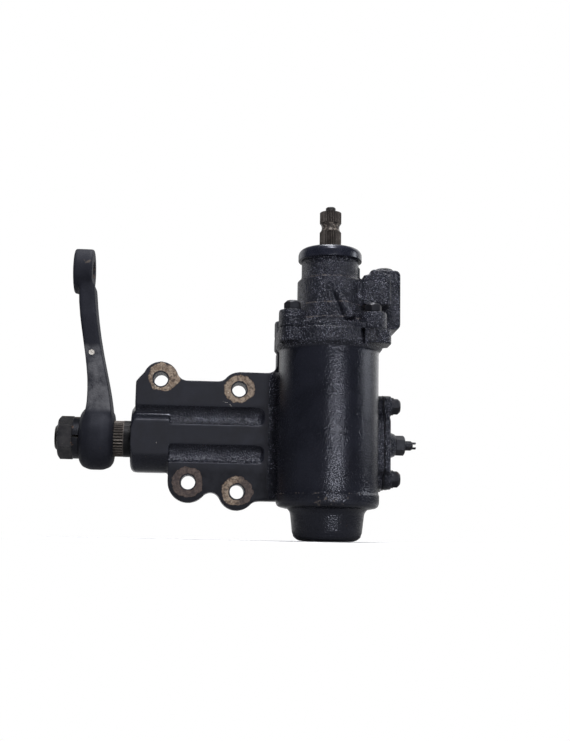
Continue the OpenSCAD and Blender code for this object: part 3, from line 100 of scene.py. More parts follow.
class Nodes:
    """A node tree, with one short call for each kind of node."""

    def __init__(self, tree):
        self.tree = tree

    def add(self, kind, **settings):
        n = self.tree.nodes.new(kind)
        for name, value in settings.items():
            setattr(n, name, value)
        return n

    def put(self, socket, value):
        if isinstance(value, bpy.types.NodeSocket):
            self.tree.links.new(value, socket)
        elif isinstance(value, (tuple, list)) and len(value) == 3 and socket.type == "RGBA":
            socket.default_value = (*value, 1.0)
        else:
            socket.default_value = value

    def fill(self, node, **values):
        for name, value in values.items():
            self.put(node.inputs[name.replace("_", " ")], value)

    def coords(self, kind):
        return self.add("ShaderNodeTexCoord").outputs[kind]

    def split(self, vector, axis):
        n = self.add("ShaderNodeSeparateXYZ")
        self.put(n.inputs[0], vector)
        return n.outputs[axis]

    def vector(self, kind, a, b=None):
        n = self.add("ShaderNodeVectorMath", operation=kind)
        self.put(n.inputs[0], a)
        if b is not None:
            self.put(n.inputs[1], b)
        return n.outputs["Value" if kind == "LENGTH" else "Vector"]

    def step(self, value, low, high, to_low=0.0, to_high=1.0):
        n = self.add("ShaderNodeMapRange", interpolation_type="SMOOTHSTEP")
        self.fill(n, Value=value, From_Min=low, From_Max=high, To_Min=to_low, To_Max=to_high)
        return n.outputs["Result"]

    def calc(self, kind, a, b):
        n = self.add("ShaderNodeMath", operation=kind)
        self.put(n.inputs[0], a)
        self.put(n.inputs[1], b)
        return n.outputs[0]

    def times(self, a, b):
        return self.calc("MULTIPLY", a, b)

    def plus(self, a, b):
        return self.calc("ADD", a, b)

    def minus(self, a, b):
        return self.calc("SUBTRACT", a, b)

    def most(self, a, b):
        return self.calc("MAXIMUM", a, b)

    def mix_of(self, kind, share, a, b):
        """The Mix node keeps a socket of each kind, so they are taken by number."""
        first, second, result = {"RGBA": (6, 7, 2), "FLOAT": (2, 3, 0)}[kind]
        n = self.add("ShaderNodeMix", data_type=kind)
        for i, value in ((0, share), (first, a), (second, b)):
            self.put(n.inputs[i], value)
        return n.outputs[result]

    def mix(self, share, a, b):
        return self.mix_of("RGBA", share, a, b)

    def blend(self, share, a, b):
        return self.mix_of("FLOAT", share, a, b)

    def layer(self, share, a, b):
        n = self.add("ShaderNodeMixShader")
        for i, value in enumerate((share, a, b)):
            self.put(n.inputs[i], value)
        return n.outputs[0]


class Shader(Nodes):
    """A material on the Principled node, with textures in the object's own coordinates."""

    def __init__(self, name):
        self.material = bpy.data.materials.new(name)
        self.material.use_nodes = True
        super().__init__(self.material.node_tree)
        self.bsdf = self.tree.nodes["Principled BSDF"]
        self.here = self.coords("Object")

    def set(self, **values):
        self.fill(self.bsdf, **values)

    def noise(self, scale, detail=3.0, rough=0.55, twist=0.0):
        n = self.add("ShaderNodeTexNoise")
        self.fill(n, Vector=self.here, Scale=scale, Detail=detail, Roughness=rough,
                  Distortion=twist)
        return n.outputs["Fac"]

    def waver(self, scale, detail=3.0, rough=0.55):
        """Noise about zero."""
        return self.minus(self.noise(scale, detail, rough), 0.5)

    def cells(self, scale):
        """Distance from the middle of the nearest cell."""
        n = self.add("ShaderNodeTexVoronoi", feature="F1")
        self.fill(n, Vector=self.here, Scale=scale)
        return n.outputs["Distance"]

    def mask(self, name):
        return self.add("ShaderNodeAttribute", attribute_name=name).outputs["Fac"]

    def radius(self, axis, centre):
        """Distance from a line along the axis, through the centre."""
        across = [0.0 if k == axis else 1.0 for k in "XYZ"]
        flat = self.vector("MULTIPLY", self.vector("SUBTRACT", self.here, centre), across)
        return self.vector("LENGTH", flat)

    def place(self, axis):
        return self.split(self.here, axis)

    def edges(self):
        """1 on sharp outer edges."""
        return self.step(self.add("ShaderNodeNewGeometry").outputs["Pointiness"], 0.53, 0.62)

    def bump(self, height, strength, distance):
        n = self.add("ShaderNodeBump")
        self.fill(n, Strength=strength, Distance=distance, Height=height)
        return n.outputs["Normal"]


# Materials: linear colours

COAT_TINT = (0.84, 0.86, 1.0)       # bluish reflections of the black paint and rubber
# GLINT is a painted highlight: pale specks that stand in for light glinting on the cast grain
GLINT = (0.190, 0.196, 0.240)
SHADED = (0.0022, 0.0023, 0.0034)
RUBBED = (0.05, 0.046, 0.043)
RUST = (0.05, 0.028, 0.018)
# Scuff colours, also used for pale lines painted as highlights along ledges
SCUFF_AND_HIGHLIGHT_PALE, SCUFF_AND_HIGHLIGHT_DARK = (0.12, 0.098, 0.078), (0.04, 0.032, 0.027)
TAN_PALE, TAN_DARK, TAN_BRIGHT = (0.290, 0.226, 0.166), (0.150, 0.102, 0.067), (0.50, 0.44, 0.36)
BROWN_PALE, BROWN_DARK = (0.098, 0.070, 0.057), (0.038, 0.027, 0.023)
PIT = (0.032, 0.021, 0.015)
SEAT_RIM = (0.055, 0.036, 0.025)
CHIP_PALE, CHIP_DARK = (0.62, 0.59, 0.54), (0.34, 0.31, 0.28)
CAST_GRAIN = 0.00072                # height of the cast grain, in metres


def cast_paint(name, dark, pale, panel_tone_and_light, worn, satin, matt, shine=0.38, grit=None):
    """Black paint on a casting: the mesh's masks place its flats, grain, bare seats, worn spots,
    painted highlight lines and painted shade.
    """
    s = Shader(name)
    flat, ring, tone, chip, wear, shade = (
        s.mask(n) for n in ("flat", "ring", "tone", "chip", "wear", "shade"))
    rough = s.mask("rough") if grit is None else grit
    coarse = s.noise(640.0, 2.0, 0.6)
    fine = s.noise(1500.0, 2.0, 0.6)
    cloud = s.noise(60.0, 4.0, 0.6)
    cell = s.cells(720.0)
    jitter = s.waver(170.0, 4.0, 0.62)

    # Coat: two tones, paler flats (on the arm a painted lit face), painted shade on the lower
    # flats, rubbed edges, a little rust, painted glints of the grain, scuffs and painted highlight
    # lines
    paint = s.mix(s.step(s.noise(38.0), 0.35, 0.68), dark, pale)
    # Flats get a paler tone; on the arm this is a painted highlight, its lit lower face
    paint = s.mix(s.times(flat, s.step(cloud, 0.32, 0.68, 0.1, 1.0)), paint, panel_tone_and_light)
    # Painted shade: the lower flats of the housing are darkened
    paint = s.mix(s.times(shade, 0.75), paint, SHADED)
    rub = s.times(s.edges(), s.step(s.noise(120.0, 4.0), 0.46, 0.64))
    paint = s.mix(s.times(rub, worn), paint, RUBBED)
    rust = s.times(s.step(s.noise(210.0, 2.0, 0.5, 0.4), 0.70, 0.76),
                   s.step(s.noise(26.0, 2.0), 0.52, 0.66))
    paint = s.mix(s.times(rust, 0.5), paint, RUST)
    # Painted glints: pale specks in the colour stand in for light glinting on the grain
    painted_glint = s.times(s.step(s.cells(620.0), 0.14, 0.36, 1.0, 0.0),
                    s.step(s.noise(75.0), 0.36, 0.60))
    painted_glint = s.times(painted_glint, s.step(rough, 0.35, 0.95))
    paint = s.mix(s.times(painted_glint, 0.75), paint, GLINT)
    # Scuffs: real wear, and pale lines painted as highlights along ledges
    scuff_and_highlight = s.step(s.plus(wear, s.times(s.waver(330.0, 4.0, 0.65), 2.4)), 0.62, 0.86)
    scuff_and_highlight_tone = s.mix(s.step(fine, 0.4, 0.6), SCUFF_AND_HIGHLIGHT_PALE, SCUFF_AND_HIGHLIGHT_DARK)
    paint = s.mix(s.times(scuff_and_highlight, 0.75), paint, scuff_and_highlight_tone)

    # Bare seats: tan or brown metal with pits, and a ragged brown rim
    tan = s.mix(s.step(s.noise(190.0, 4.0, 0.65), 0.40, 0.64), TAN_PALE, TAN_DARK)
    tan = s.mix(s.step(s.noise(420.0), 0.58, 0.72), tan, TAN_BRIGHT)
    brown = s.mix(s.step(s.noise(240.0, 4.0, 0.65), 0.36, 0.66), BROWN_PALE, BROWN_DARK)
    seat = s.mix(s.step(s.plus(tone, s.times(jitter, 0.9)), 0.30, 0.72), tan, brown)
    pits = s.most(s.step(s.noise(520.0, 2.0, 0.5), 0.56, 0.64),
                  s.step(s.noise(260.0, 3.0, 0.6, 0.6), 0.53, 0.62))
    seat = s.mix(s.times(pits, 0.72), seat, PIT)
    bare_edge = s.plus(ring, s.times(jitter, 2.0))
    bare = s.step(bare_edge, 0.47, 0.54)
    seat = s.mix(s.step(bare_edge, 0.54, 0.74), SEAT_RIM, seat)
    colour = s.mix(bare, paint, seat)

    # Chips down to bright metal
    metal = s.step(s.plus(chip, s.times(s.waver(380.0), 0.7)), 0.45, 0.52)
    colour = s.mix(metal, colour, s.mix(s.step(coarse, 0.42, 0.6), CHIP_PALE, CHIP_DARK))

    gloss = s.blend(flat, s.step(fine, 0.3, 0.75, satin, satin + 0.13),
                    s.step(cloud, 0.32, 0.68, matt, matt + 0.26))
    gloss = s.blend(s.most(bare, scuff_and_highlight), gloss, s.step(fine, 0.3, 0.7, 0.5, 0.72))
    grain = s.minus(s.times(coarse, 0.55), s.times(cell, cell))
    grain = s.plus(grain, s.times(fine, 0.2))
    grain = s.times(grain, s.step(rough, 0.0, 1.0, 0.04, 1.0))
    grain = s.minus(grain, s.times(s.most(bare, metal), 0.08))
    s.set(Base_Color=colour, Roughness=gloss, Specular_IOR_Level=shine,
          Specular_Tint=COAT_TINT, Normal=s.bump(grain, 1.0, CAST_GRAIN))
    return s.material


def small_paint(name, dark, pale, worn):
    """Paint on fasteners, rubbed at the edges and a little rusty."""
    s = Shader(name)
    broad = s.noise(95.0)
    fine = s.noise(900.0, 3.0, 0.6)
    paint = s.mix(s.step(broad, 0.35, 0.68), dark, pale)
    rub = s.times(s.edges(), s.step(s.noise(210.0, 4.0), 0.44, 0.60))
    paint = s.mix(s.times(rub, worn), paint, (0.20, 0.175, 0.15))
    rust = s.step(s.noise(240.0, 2.0, 0.5, 0.3), 0.66, 0.74)
    paint = s.mix(s.times(rust, 0.7), paint, (0.10, 0.055, 0.03))
    s.set(Base_Color=paint, Roughness=s.step(fine, 0.3, 0.75, 0.36, 0.54),
          Specular_IOR_Level=0.3, Specular_Tint=COAT_TINT,
          Normal=s.bump(s.plus(fine, broad), 0.6, 0.00022))
    return s.material


def worn_steel(name, axis, centre, root, tip, waist, painted_x):
    """Teeth about an axis: darker towards the roots, rubbed tips, a brighter waist, paint from one
    X on.
    """
    s = Shader(name)
    film = s.noise(150.0, 4.0, 0.6)
    fine = s.noise(1100.0, 3.0, 0.6)
    crest = s.step(s.radius(axis, centre), root, tip)
    tone = s.mix(s.step(film, 0.36, 0.66), (0.115, 0.098, 0.088), (0.060, 0.050, 0.045))
    tone = s.mix(s.times(s.step(fine, 0.55, 0.68), 0.5), tone, (0.26, 0.235, 0.215))
    tone = s.mix(crest, (0.016, 0.0135, 0.0125), tone)
    low, high = waist
    blur = 0.0022
    band = s.times(s.step(s.place("Z"), low, low + blur),
                   s.step(s.place("Z"), high - blur, high, 1.0, 0.0))
    spots = s.step(s.noise(420.0, 3.0, 0.6), 0.46, 0.62, 0.12, 1.0)
    tone = s.mix(s.times(band, spots), tone, (0.24, 0.205, 0.178))
    painted = s.step(s.place("X"), painted_x, painted_x + 0.0012)
    tone = s.mix(painted, tone, (0.0062, 0.0062, 0.0076))
    s.set(Base_Color=tone, Metallic=0.4, Roughness=s.step(fine, 0.3, 0.7, 0.36, 0.54),
          Specular_IOR_Level=0.3,
          Normal=s.bump(s.plus(film, s.times(fine, 0.5)), 0.4, 0.0002))
    return s.material


def plain_steel(name, colour, rough):
    s = Shader(name)
    film = s.noise(90.0)
    fine = s.noise(900.0)
    tone = s.mix(s.step(film, 0.35, 0.65), colour, [c * 0.72 for c in colour])
    s.set(Base_Color=tone, Metallic=0.9, Roughness=s.step(fine, 0.3, 0.7, rough, rough + 0.15),
          Normal=s.bump(fine, 0.3, 0.0001))
    return s.material


def rubber(name, dark, pale, gloss):
    s = Shader(name)
    film = s.noise(70.0)
    fine = s.noise(1300.0)
    tone = s.mix(s.step(film, 0.4, 0.65), dark, pale)
    dust = s.times(s.step(s.noise(330.0), 0.6, 0.72), 0.25)
    tone = s.mix(dust, tone, (0.05, 0.045, 0.04))
    s.set(Base_Color=tone, Roughness=s.step(fine, 0.3, 0.7, gloss, gloss + 0.18),
          Specular_IOR_Level=0.4, Specular_Tint=COAT_TINT,
          Normal=s.bump(s.plus(film, s.times(fine, 0.4)), 0.35, 0.00025))
    return s.material


HOUSING = cast_paint(
    "housing_paint", dark=(0.0078, 0.0083, 0.0120), pale=(0.0114, 0.0121, 0.0174),
    panel_tone_and_light=(0.0164, 0.0167, 0.0200), worn=0.6, satin=0.16, matt=0.62)
# On the arm the panel colour is painted light: its lower face is painted far paler, as if lit
ARM = cast_paint(
    "arm_paint", dark=(0.0096, 0.0102, 0.0148), pale=(0.0150, 0.0158, 0.0216),
    panel_tone_and_light=(0.1200, 0.1200, 0.1280), worn=0.7, satin=0.54, matt=0.40, shine=0.2)
PLUG = cast_paint(
    "plug_paint", dark=(0.0046, 0.0050, 0.0070), pale=(0.0100, 0.0102, 0.0120),
    panel_tone_and_light=(0.010, 0.010, 0.011), worn=0.3, satin=0.16, matt=0.5, grit=0.9)
FASTENER = small_paint("fastener_paint", (0.0048, 0.0052, 0.0070), (0.0105, 0.0106, 0.0125), 0.15)
NUT = small_paint("nut_paint", (0.0120, 0.0116, 0.0124), (0.0330, 0.0310, 0.0305), 0.9)
SPLINE = worn_steel("spline_steel", "Z", (WORM_X, WORM_Y, 0.0), 0.00965, 0.01015,
                    waist=(0.1958, 0.2054), painted_x=FAR)
SERRATED = worn_steel("serration_steel", "X", (0.0, SECTOR_Y, SECTOR_Z), 0.0164, 0.0171,
                      waist=(FAR, FAR + 0.1), painted_x=SERRATION_X1)
DARK_STEEL = small_paint("dark_steel", (0.020, 0.018, 0.017), (0.042, 0.037, 0.034), 0.4)
STEEL = plain_steel("machined_steel", (0.40, 0.39, 0.38), 0.28)
BEARING = plain_steel("bearing_steel", (0.58, 0.58, 0.59), 0.15)
BRASS = plain_steel("seat_brass", (0.62, 0.45, 0.19), 0.3)
BRONZE = plain_steel("bush_bronze", (0.55, 0.38, 0.18), 0.3)
DUST = rubber("dust_rubber", (0.0100, 0.0110, 0.0175), (0.0155, 0.0167, 0.0255), 0.16)
SEAL = rubber("seal_rubber", (0.008, 0.008, 0.009), (0.02, 0.019, 0.018), 0.42)
GASKET = rubber("gasket_fibre", (0.008, 0.008, 0.009), (0.02, 0.019, 0.018), 0.6)


# Castings: a fine copy of the solid with rounded edges and moulded fillets

def fine_copy(node, voxel):
    held = bpy.data.objects.new("held", nodes[node].data.copy())
    scene.collection.objects.link(held)
    m = held.modifiers.new("grid", "REMESH")
    m.mode = "VOXEL"
    m.voxel_size = voxel
    m.adaptivity = 0.0
    graph = bpy.context.evaluated_depsgraph_get()
    mesh = bpy.data.meshes.new_from_object(held.evaluated_get(graph))
    bpy.data.objects.remove(held)
    mesh.materials.clear()
    return mesh


def points_of(mesh):
    co = np.empty(len(mesh.vertices) * 3)
    mesh.vertices.foreach_get("co", co)
    return co.reshape(-1, 3)


def normals_of(mesh):
    no = np.empty(len(mesh.vertices) * 3)
    mesh.vertex_normals.foreach_get("vector", no)
    return no.reshape(-1, 3)


def set_points(mesh, co):
    mesh.vertices.foreach_set("co", co.astype(np.float32).ravel())
    mesh.update()


class Smoother:
    """Pulls each point towards the middle of its neighbours."""

    def __init__(self, mesh):
        ends = np.empty(len(mesh.edges) * 2, np.int64)
        mesh.edges.foreach_get("vertices", ends)
        self.a, self.b = ends.reshape(-1, 2).T
        self.n = len(mesh.vertices)
        count = np.bincount(self.a, minlength=self.n) + np.bincount(self.b, minlength=self.n)
        self.count = np.maximum(count, 1)

    def pull(self, co):
        out = np.empty_like(co)
        for k in range(3):
            total = (np.bincount(self.a, co[self.b, k], self.n)
                     + np.bincount(self.b, co[self.a, k], self.n))
            out[:, k] = total / self.count
        return out - co


def mould(mesh, free, ease, fill, hollow=None):
    """Rounds every free edge a little, then fills the hollow corners into fillets."""
    relax, swell, drift, refresh, finish = 0.5, 0.55, 0.12, 6, 2
    co = points_of(mesh)
    sm = Smoother(mesh)
    hollow = (free if hollow is None else free * hollow)[:, None]
    free = free[:, None]
    for _ in range(ease):
        co += relax * sm.pull(co) * free
    for i in range(fill):
        if i % refresh == 0:
            set_points(mesh, co)
            no = normals_of(mesh)
        step = sm.pull(co)
        out = (step * no).sum(1)
        co += no * (swell * np.clip(out, 0.0, None))[:, None] * hollow + drift * step * hollow
    for _ in range(finish):
        co += relax * sm.pull(co) * hollow
    set_points(mesh, co)
    return co


def write_masks(mesh, **masks):
    for name in ("flat", "rough", "ring", "tone", "chip", "wear", "shade"):
        a = mesh.attributes.new(name, "FLOAT", "POINT")
        values = np.broadcast_to(masks.get(name, 0.0), len(mesh.vertices))
        a.data.foreach_set("value", values.astype(np.float32))


def piece(name, mesh, body, material, node):
    obj = bpy.data.objects.new(name, mesh)
    scene.collection.objects.link(obj)
    mesh.materials.append(material)
    mesh.polygons.foreach_set("use_smooth", np.ones(len(mesh.polygons), bool))
    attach(obj, body)
    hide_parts(node)


# Shares over the points of a mesh

def ramp(v, low, high):
    t = np.clip((v - low) / (high - low), 0.0, 1.0)
    return t * t * (3.0 - 2.0 * t)


def fall(v, low, high):
    return 1.0 - ramp(v, low, high)


def spot(co, centre, radius):
    """1 at a point of the surface, falling to 0 past the radius."""
    return fall(np.linalg.norm(co - np.array(centre), axis=1), 0.35 * radius, 1.3 * radius)


def stroke(co, ends, width):
    """1 along a line of points, falling to 0 beside it."""
    best = np.full(len(co), 1.0)
    for a, b in zip(ends[:-1], ends[1:]):
        a, b = np.array(a), np.array(b)
        t = np.clip(((co - a) @ (b - a)) / ((b - a) @ (b - a)), 0.0, 1.0)
        best = np.minimum(best, np.linalg.norm(co - a - t[:, None] * (b - a), axis=1))
    return fall(best, 0.3 * width, width)


def from_worm(co):
    return np.hypot(co[:, 0] - WORM_X, co[:, 1] - WORM_Y)


def from_sector(co):
    return np.hypot(co[:, 1] - SECTOR_Y, co[:, 2] - SECTOR_Z)


def from_eye(co):
    return np.hypot(co[:, 1] - SECTOR_Y, co[:, 2] - EYE_Z)


# Bare seats round the chassis holes: centre (x, z), reach in mm at 0, 45 .. 315 degrees,
# and tone at left and right, from tan (0) to brown (1)
SEATS = (
    ((-0.0445, 0.0553), (19.0, 16.5, 15.5, 14.0, 11.8, 11.6, 11.2, 13.4), (0.15, 0.10)),
    ((0.0300, 0.0473), (15.3, 15.0, 13.6, 14.2, 14.1, 14.6, 12.4, 13.2), (0.05, 0.40)),
    ((-0.0160, -0.0412), (14.0, 14.4, 14.7, 14.8, 15.0, 14.8, 14.6, 14.2), (0.85, 0.80)),
    ((0.0300, -0.0492), (15.2, 14.8, 14.6, 14.4, 14.7, 14.0, 13.2, 14.0), (0.0, 0.95)),
)


def seat_masks(co):
    blur, zone, front_y = 0.0024, 0.024, 0.0012
    ring = np.zeros(len(co))
    tone = np.zeros(len(co))
    for (x, z), reach, (left, right) in SEATS:
        dx, dz = co[:, 0] - x, co[:, 2] - z
        away = np.hypot(dx, dz)
        turn = np.degrees(np.arctan2(dz, dx)) % 360.0
        edge = np.interp(turn, np.arange(0, 361, 45), np.array(reach + reach[:1]) * 0.001)
        here = fall(away, edge - blur, edge + blur) * ramp(away, 0.0074, 0.0085)
        near = away < zone
        ring = np.where(near, np.maximum(ring, here), ring)
        share = 0.5 + 0.5 * dx / np.maximum(away, 1e-6)
        tone = np.where(near, left + (right - left) * share, tone)
    return ring * (co[:, 1] < front_y), tone


def build_housing():
    mesh = fine_copy("gear_housing", 0.0010)
    co = points_of(mesh)
    worm_d, sector_d = from_worm(co), from_sector(co)
    holes = np.min([np.hypot(co[:, 0] - x, co[:, 2] - z) for (x, z), _, _ in SEATS], axis=0)

    # Bores, holes and mating faces keep their shape
    free = np.ones(len(co))
    free[(worm_d < BORE_REACH) & (co[:, 2] > BORE_END_Z)] = 0.0
    free[(sector_d < 0.0385) & (co[:, 0] > 0.0705)] = 0.0
    free[sector_d < 0.0262] = 0.0
    free[holes < 0.0080] = 0.0
    free[co[:, 2] > JOINT_Z - 0.0006] = 0.0
    free[co[:, 0] > 0.1655] = 0.0

    # Fillets: at the cylinder and behind the flange, not at the band or under the joint
    hollow = np.maximum(ramp(co[:, 0], 0.040, 0.056), ramp(co[:, 1], 0.016, 0.022))
    hollow *= ramp(np.abs(co[:, 2] - BAND_Z), 0.0012, 0.003) * fall(co[:, 2], 0.060, 0.068)
    co = mould(mesh, free, 3, 46, hollow)
    no = normals_of(mesh)
    inside = (worm_d < BORE_REACH) & (co[:, 2] > BORE_END_Z)
    co -= no * (BORE_ROOM * inside)[:, None]
    set_points(mesh, co)

    # Machined flats in front, with painted shade at the foot of the flange
    face = np.clip(-no[:, 1], 0.0, 1.0) * (np.abs(co[:, 1]) < 0.0009)
    flat = ramp(face, 0.80, 0.97)
    shade = flat * ramp(-co[:, 2], 0.024, 0.034)
    ring, tone = seat_masks(co)

    # Grain: little on the cylinder and the boss, some in the channels, most elsewhere
    round_body = fall(from_worm(co), 0.0475, 0.0500) * fall(co[:, 2], 0.078, 0.084)
    channel = (co[:, 0] < 0.0555) & (co[:, 1] < 0.007) & (np.abs(co[:, 2] - 0.004) < 0.032)
    rough = np.where(round_body > 0.5, 0.32, np.where(channel, 0.55, 0.95)) * (1.0 - flat)
    boss = (co[:, 0] < -0.0355) * fall(np.abs(sector_d - 0.0315), 0.002, 0.003)
    rough *= 1.0 - 0.75 * boss

    scratch = ((0.0142, 0.0, 0.0357), (0.0195, 0.0, 0.034), (0.0232, 0.0, 0.031))
    chip = np.maximum(0.52 * stroke(co, scratch, 0.0009),
                      0.8 * spot(co, (-0.0464, 0.0, -0.005), 0.0007))
    # Painted highlight: a pale line along the lip of the band, where light catches it
    lip_highlight = fall(np.abs(co[:, 2] - LIP_Z), 0.0004, 0.0013) * (co[:, 1] < 0.0)
    wear = np.maximum.reduce([
        0.62 * spot(co, (0.099, -0.0705, -0.0592), 0.007),
        0.5 * spot(co, (0.110, -0.0725, -0.0570), 0.011),
        0.42 * spot(co, (0.122, -0.0715, -0.0570), 0.008),
        0.55 * round_body * lip_highlight])
    write_masks(mesh, flat=flat, rough=rough, ring=ring, tone=tone, chip=chip, wear=wear,
                shade=shade)
    piece("housing_casting", mesh, "housing", HOUSING, "gear_housing")


def build_valve_housing():
    mesh = fine_copy("valve_housing", 0.0008)
    co = points_of(mesh)
    worm_d = from_worm(co)
    free = np.ones(len(co))
    free[worm_d < 0.0222] = 0.0
    free[co[:, 2] < JOINT_Z + 0.0005] = 0.0
    for z, reach in PORTS:
        port = np.hypot(co[:, 1] - PORT_Y, co[:, 2] - z) < reach
        free[port & (co[:, 0] > 0.130)] = 0.0
    co = mould(mesh, free, 2, 5)
    no = normals_of(mesh)
    flat = ramp(np.clip(no[:, 0], 0.0, 1.0) * (co[:, 0] > 0.178), 0.85, 0.97)
    # Painted highlight: pale lines on the ledges stand in for light catching them, with some wear
    ledge = np.min([np.abs(co[:, 2] - z) for z in LEDGES_Z], axis=0)
    wear = 0.72 * fall(ledge, 0.0005, 0.0013) * (worm_d < 0.0400) * (worm_d > 0.0262)
    write_masks(mesh, flat=flat, rough=1.0 - flat, wear=wear)
    piece("valve_casting", mesh, "housing", HOUSING, "valve_housing")


def build_cover():
    mesh = fine_copy("side_cover", 0.0009)
    co = points_of(mesh)
    free = np.ones(len(co))
    free[from_sector(co) < 0.0065] = 0.0
    free[co[:, 0] < 0.1675] = 0.0
    mould(mesh, free, 3, 10)
    write_masks(mesh, rough=0.9)
    piece("cover_casting", mesh, "housing", HOUSING, "side_cover")


def build_arm():
    mesh = fine_copy("pitman_arm", 0.0008)
    co = points_of(mesh)
    free = np.ones(len(co))
    free[from_sector(co) < 0.0190] = 0.0
    free[from_eye(co) < 0.0106] = 0.0
    co = mould(mesh, free, 10, 30)
    eye_d = from_eye(co)
    no = normals_of(mesh)
    rim = ramp(co[:, 0], -0.1105, -0.1085)
    chip = np.maximum.reduce([
        spot(co, (-0.1112, 0.0080, 0.0805), 0.0034),
        0.62 * rim * fall(np.abs(eye_d - 0.0216), 0.0006, 0.0020),
        0.6 * rim * fall(eye_d, 0.0104, 0.0116)])
    scrape = ((-0.1225, 0.0060, 0.1700), (-0.1200, 0.0062, 0.1672), (-0.1165, 0.0065, 0.1694))
    wear = 0.8 * stroke(co, scrape, 0.0024)
    # Sunk lower face of the arm, where a lit tone is painted
    panel_tone_and_light = (ramp(-no[:, 1], 0.55, 0.85) * ramp(co[:, 2], 0.022, 0.028)
             * fall(co[:, 2], 0.084, 0.090))
    set_points(mesh, co - no * (PANEL_DEPTH * panel_tone_and_light)[:, None])
    write_masks(mesh, flat=0.85 * panel_tone_and_light, rough=0.16 + 0.2 * panel_tone_and_light,
                ring=0.5 * fall(eye_d, 0.0100, 0.0112), tone=0.6, chip=chip, wear=wear)
    piece("forged_arm", mesh, "sector", ARM, "pitman_arm")


build_housing()
build_valve_housing()
build_cover()
build_arm()


# Nodes that keep their own solids: materials, and fine bevels on those in sight

def dress(node, material, bevel=0.0, angle=32.0, segments=2):
    obj = nodes[node]
    obj.data.materials.clear()
    obj.data.materials.append(material)
    weld = obj.modifiers.new("weld", "WELD")
    weld.merge_threshold = 0.000004
    if bevel:
        m = obj.modifiers.new("edge", "BEVEL")
        m.width = bevel
        m.segments = segments
        m.limit_method = "ANGLE"
        m.angle_limit = math.radians(angle)
        m.harden_normals = False
    m = obj.modifiers.new("shade", "WEIGHTED_NORMAL")
    m.keep_sharp = False


dress("side_cover_bolts", FASTENER, 0.00045)
dress("valve_housing_bolts", FASTENER, 0.00045)
dress("adjuster_lock_nut", FASTENER, 0.0004)
dress("adjusting_screw", FASTENER, 0.00025)
dress("gallery_plug", PLUG, 0.0006)
dress("pitman_nut", NUT, 0.0006)
dress("pitman_lock_washer", FASTENER, 0.0005)
dress("dust_cover", DUST, 0.0005, 40.0)
dress("input_shaft", SPLINE, 0.00012, 40.0, 1)
dress("torsion_bar", DARK_STEEL, 0.0003)
dress("sector_shaft", SERRATED, 0.0002, 40.0, 1)
dress("port_seats", BRASS, 0.0002)
dress("cover_bush", BRONZE)
dress("side_cover_gasket", GASKET)
for name in ("sector_oil_seal", "sector_dust_seal", "valve_housing_o_ring", "input_oil_seal",
             "piston_ring", "sleeve_seal_rings"):
    dress(name, SEAL)
for name in ("sector_bearing_shells", "sector_bearing_rollers", "worm_bearing_outer_race",
             "worm_bearing_inner_race", "worm_bearing_balls", "input_bearing_shell",
             "input_bearing_rollers", "recirculating_balls", "sleeve_drive_pin",
             "torsion_bar_lower_pin", "torsion_bar_upper_pin"):
    dress(name, BEARING)
for name in ("sector_snap_ring", "worm_bearing_lock_ring", "input_snap_ring", "adjuster_retainer",
             "rack_piston", "piston_plug", "ball_guide_tube", "ball_guide_clamp",
             "ball_guide_screws", "worm_shaft", "valve_sleeve"):
    dress(name, STEEL)


# Floor, light and background

FLOOR_PALE, FLOOR_DIM = (0.86, 0.86, 0.86), (0.30, 0.30, 0.30)
WHITE = (1.0, 1.0, 1.0)


def make_floor():
    """Pale floor: fades to white away from the object, and throws little light back on it."""
    low = min(v[2] for v in cad_box)
    bm = bmesh.new()
    bmesh.ops.create_grid(bm, x_segments=8, y_segments=8, size=0.5)
    mesh = bpy.data.meshes.new("floor")
    bm.to_mesh(mesh)
    bm.free()
    floor = bpy.data.objects.new("floor", mesh)
    floor.location = (0.03, 0.0, low - 0.0004)
    scene.collection.objects.link(floor)
    m = bpy.data.materials.new("pale_floor")
    m.use_nodes = True
    m.node_tree.nodes.clear()
    t = Nodes(m.node_tree)
    path = t.add("ShaderNodeLightPath").outputs
    place = t.coords("Object")
    thrown = t.most(path["Is Diffuse Ray"], path["Is Glossy Ray"])
    pale = t.add("ShaderNodeBsdfDiffuse")
    t.fill(pale, Color=t.mix(thrown, FLOOR_PALE, FLOOR_DIM))
    white = t.add("ShaderNodeEmission")
    t.fill(white, Color=WHITE, Strength=1.0)
    behind = t.step(t.split(place, "Y"), -0.1, 0.4)
    mirrored = t.times(path["Is Glossy Ray"], behind)
    seen = t.most(t.most(path["Is Camera Ray"], mirrored), path["Is Transmission Ray"])
    away = t.step(t.vector("LENGTH", place), 0.13, 0.34)
    surface = t.layer(t.times(away, seen), pale.outputs[0], white.outputs[0])
    t.fill(t.add("ShaderNodeOutputMaterial"), Surface=surface)
    mesh.materials.append(m)


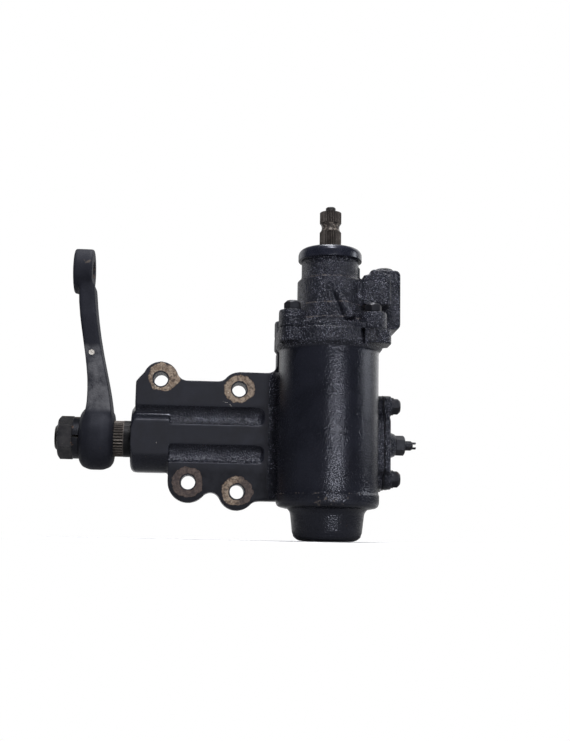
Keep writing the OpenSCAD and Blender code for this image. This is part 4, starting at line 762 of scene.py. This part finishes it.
def make_world():
    """Studio: soft light, white to the camera; reflections show a dim front and a pale sweep."""
    world = bpy.data.worlds.new("studio")
    scene.world = world
    world.use_nodes = True
    world.node_tree.nodes.clear()
    t = Nodes(world.node_tree)

    def background(colour, strength):
        n = t.add("ShaderNodeBackground")
        t.fill(n, Color=colour, Strength=strength)
        return n.outputs[0]

    path = t.add("ShaderNodeLightPath").outputs
    sweep = t.step(t.split(t.coords("Generated"), "Y"), 0.25, 0.98)
    front = background((0.80, 0.92, 1.2), 0.045)
    mirrored = t.layer(sweep, front, background(WHITE, 0.36))
    soft = background((0.96, 0.98, 1.06), 0.38)
    lit = t.layer(path["Is Glossy Ray"], soft, mirrored)
    seen = t.most(path["Is Camera Ray"], path["Is Transmission Ray"])
    surface = t.layer(seen, lit, background(WHITE, 1.0))
    t.fill(t.add("ShaderNodeOutputWorld"), Surface=surface)


def lamp(name, place, aim, size, power, tint=WHITE):
    data = bpy.data.lights.new(name, "AREA")
    data.shape = "RECTANGLE"
    data.size, data.size_y = size
    data.energy = power
    data.color = tint
    obj = bpy.data.objects.new(name, data)
    obj.location = place
    obj.rotation_euler = (Vector(aim) - Vector(place)).to_track_quat("-Z", "Y").to_euler()
    scene.collection.objects.link(obj)


make_floor()
make_world()
lamp("key", (0.36, -1.17, 0.0), (0.06, 0.0, 0.02), (0.26, 0.12), 4.6, (0.98, 0.99, 1.0))
lamp("top", (0.10, -0.75, 1.15), (0.05, 0.0, 0.05), (0.26, 0.2), 13.0)
lamp("side", (1.22, 0.0, 0.35), (0.08, 0.0, 0.05), (0.3, 0.3), 2.4, (0.95, 0.98, 1.0))
lamp("over", (0.10, 0.22, 1.30), (0.08, 0.0, 0.10), (0.3, 0.3), 9.0)
lamp("back", (0.9, 0.9, 0.7), (0.05, 0.0, 0.05), (1.2, 1.2), 5.0)
lamp("back_left", (-0.9, 0.9, 0.45), (0.0, 0.0, 0.05), (1.0, 1.0), 3.0)

scene.view_settings.view_transform = "Standard"
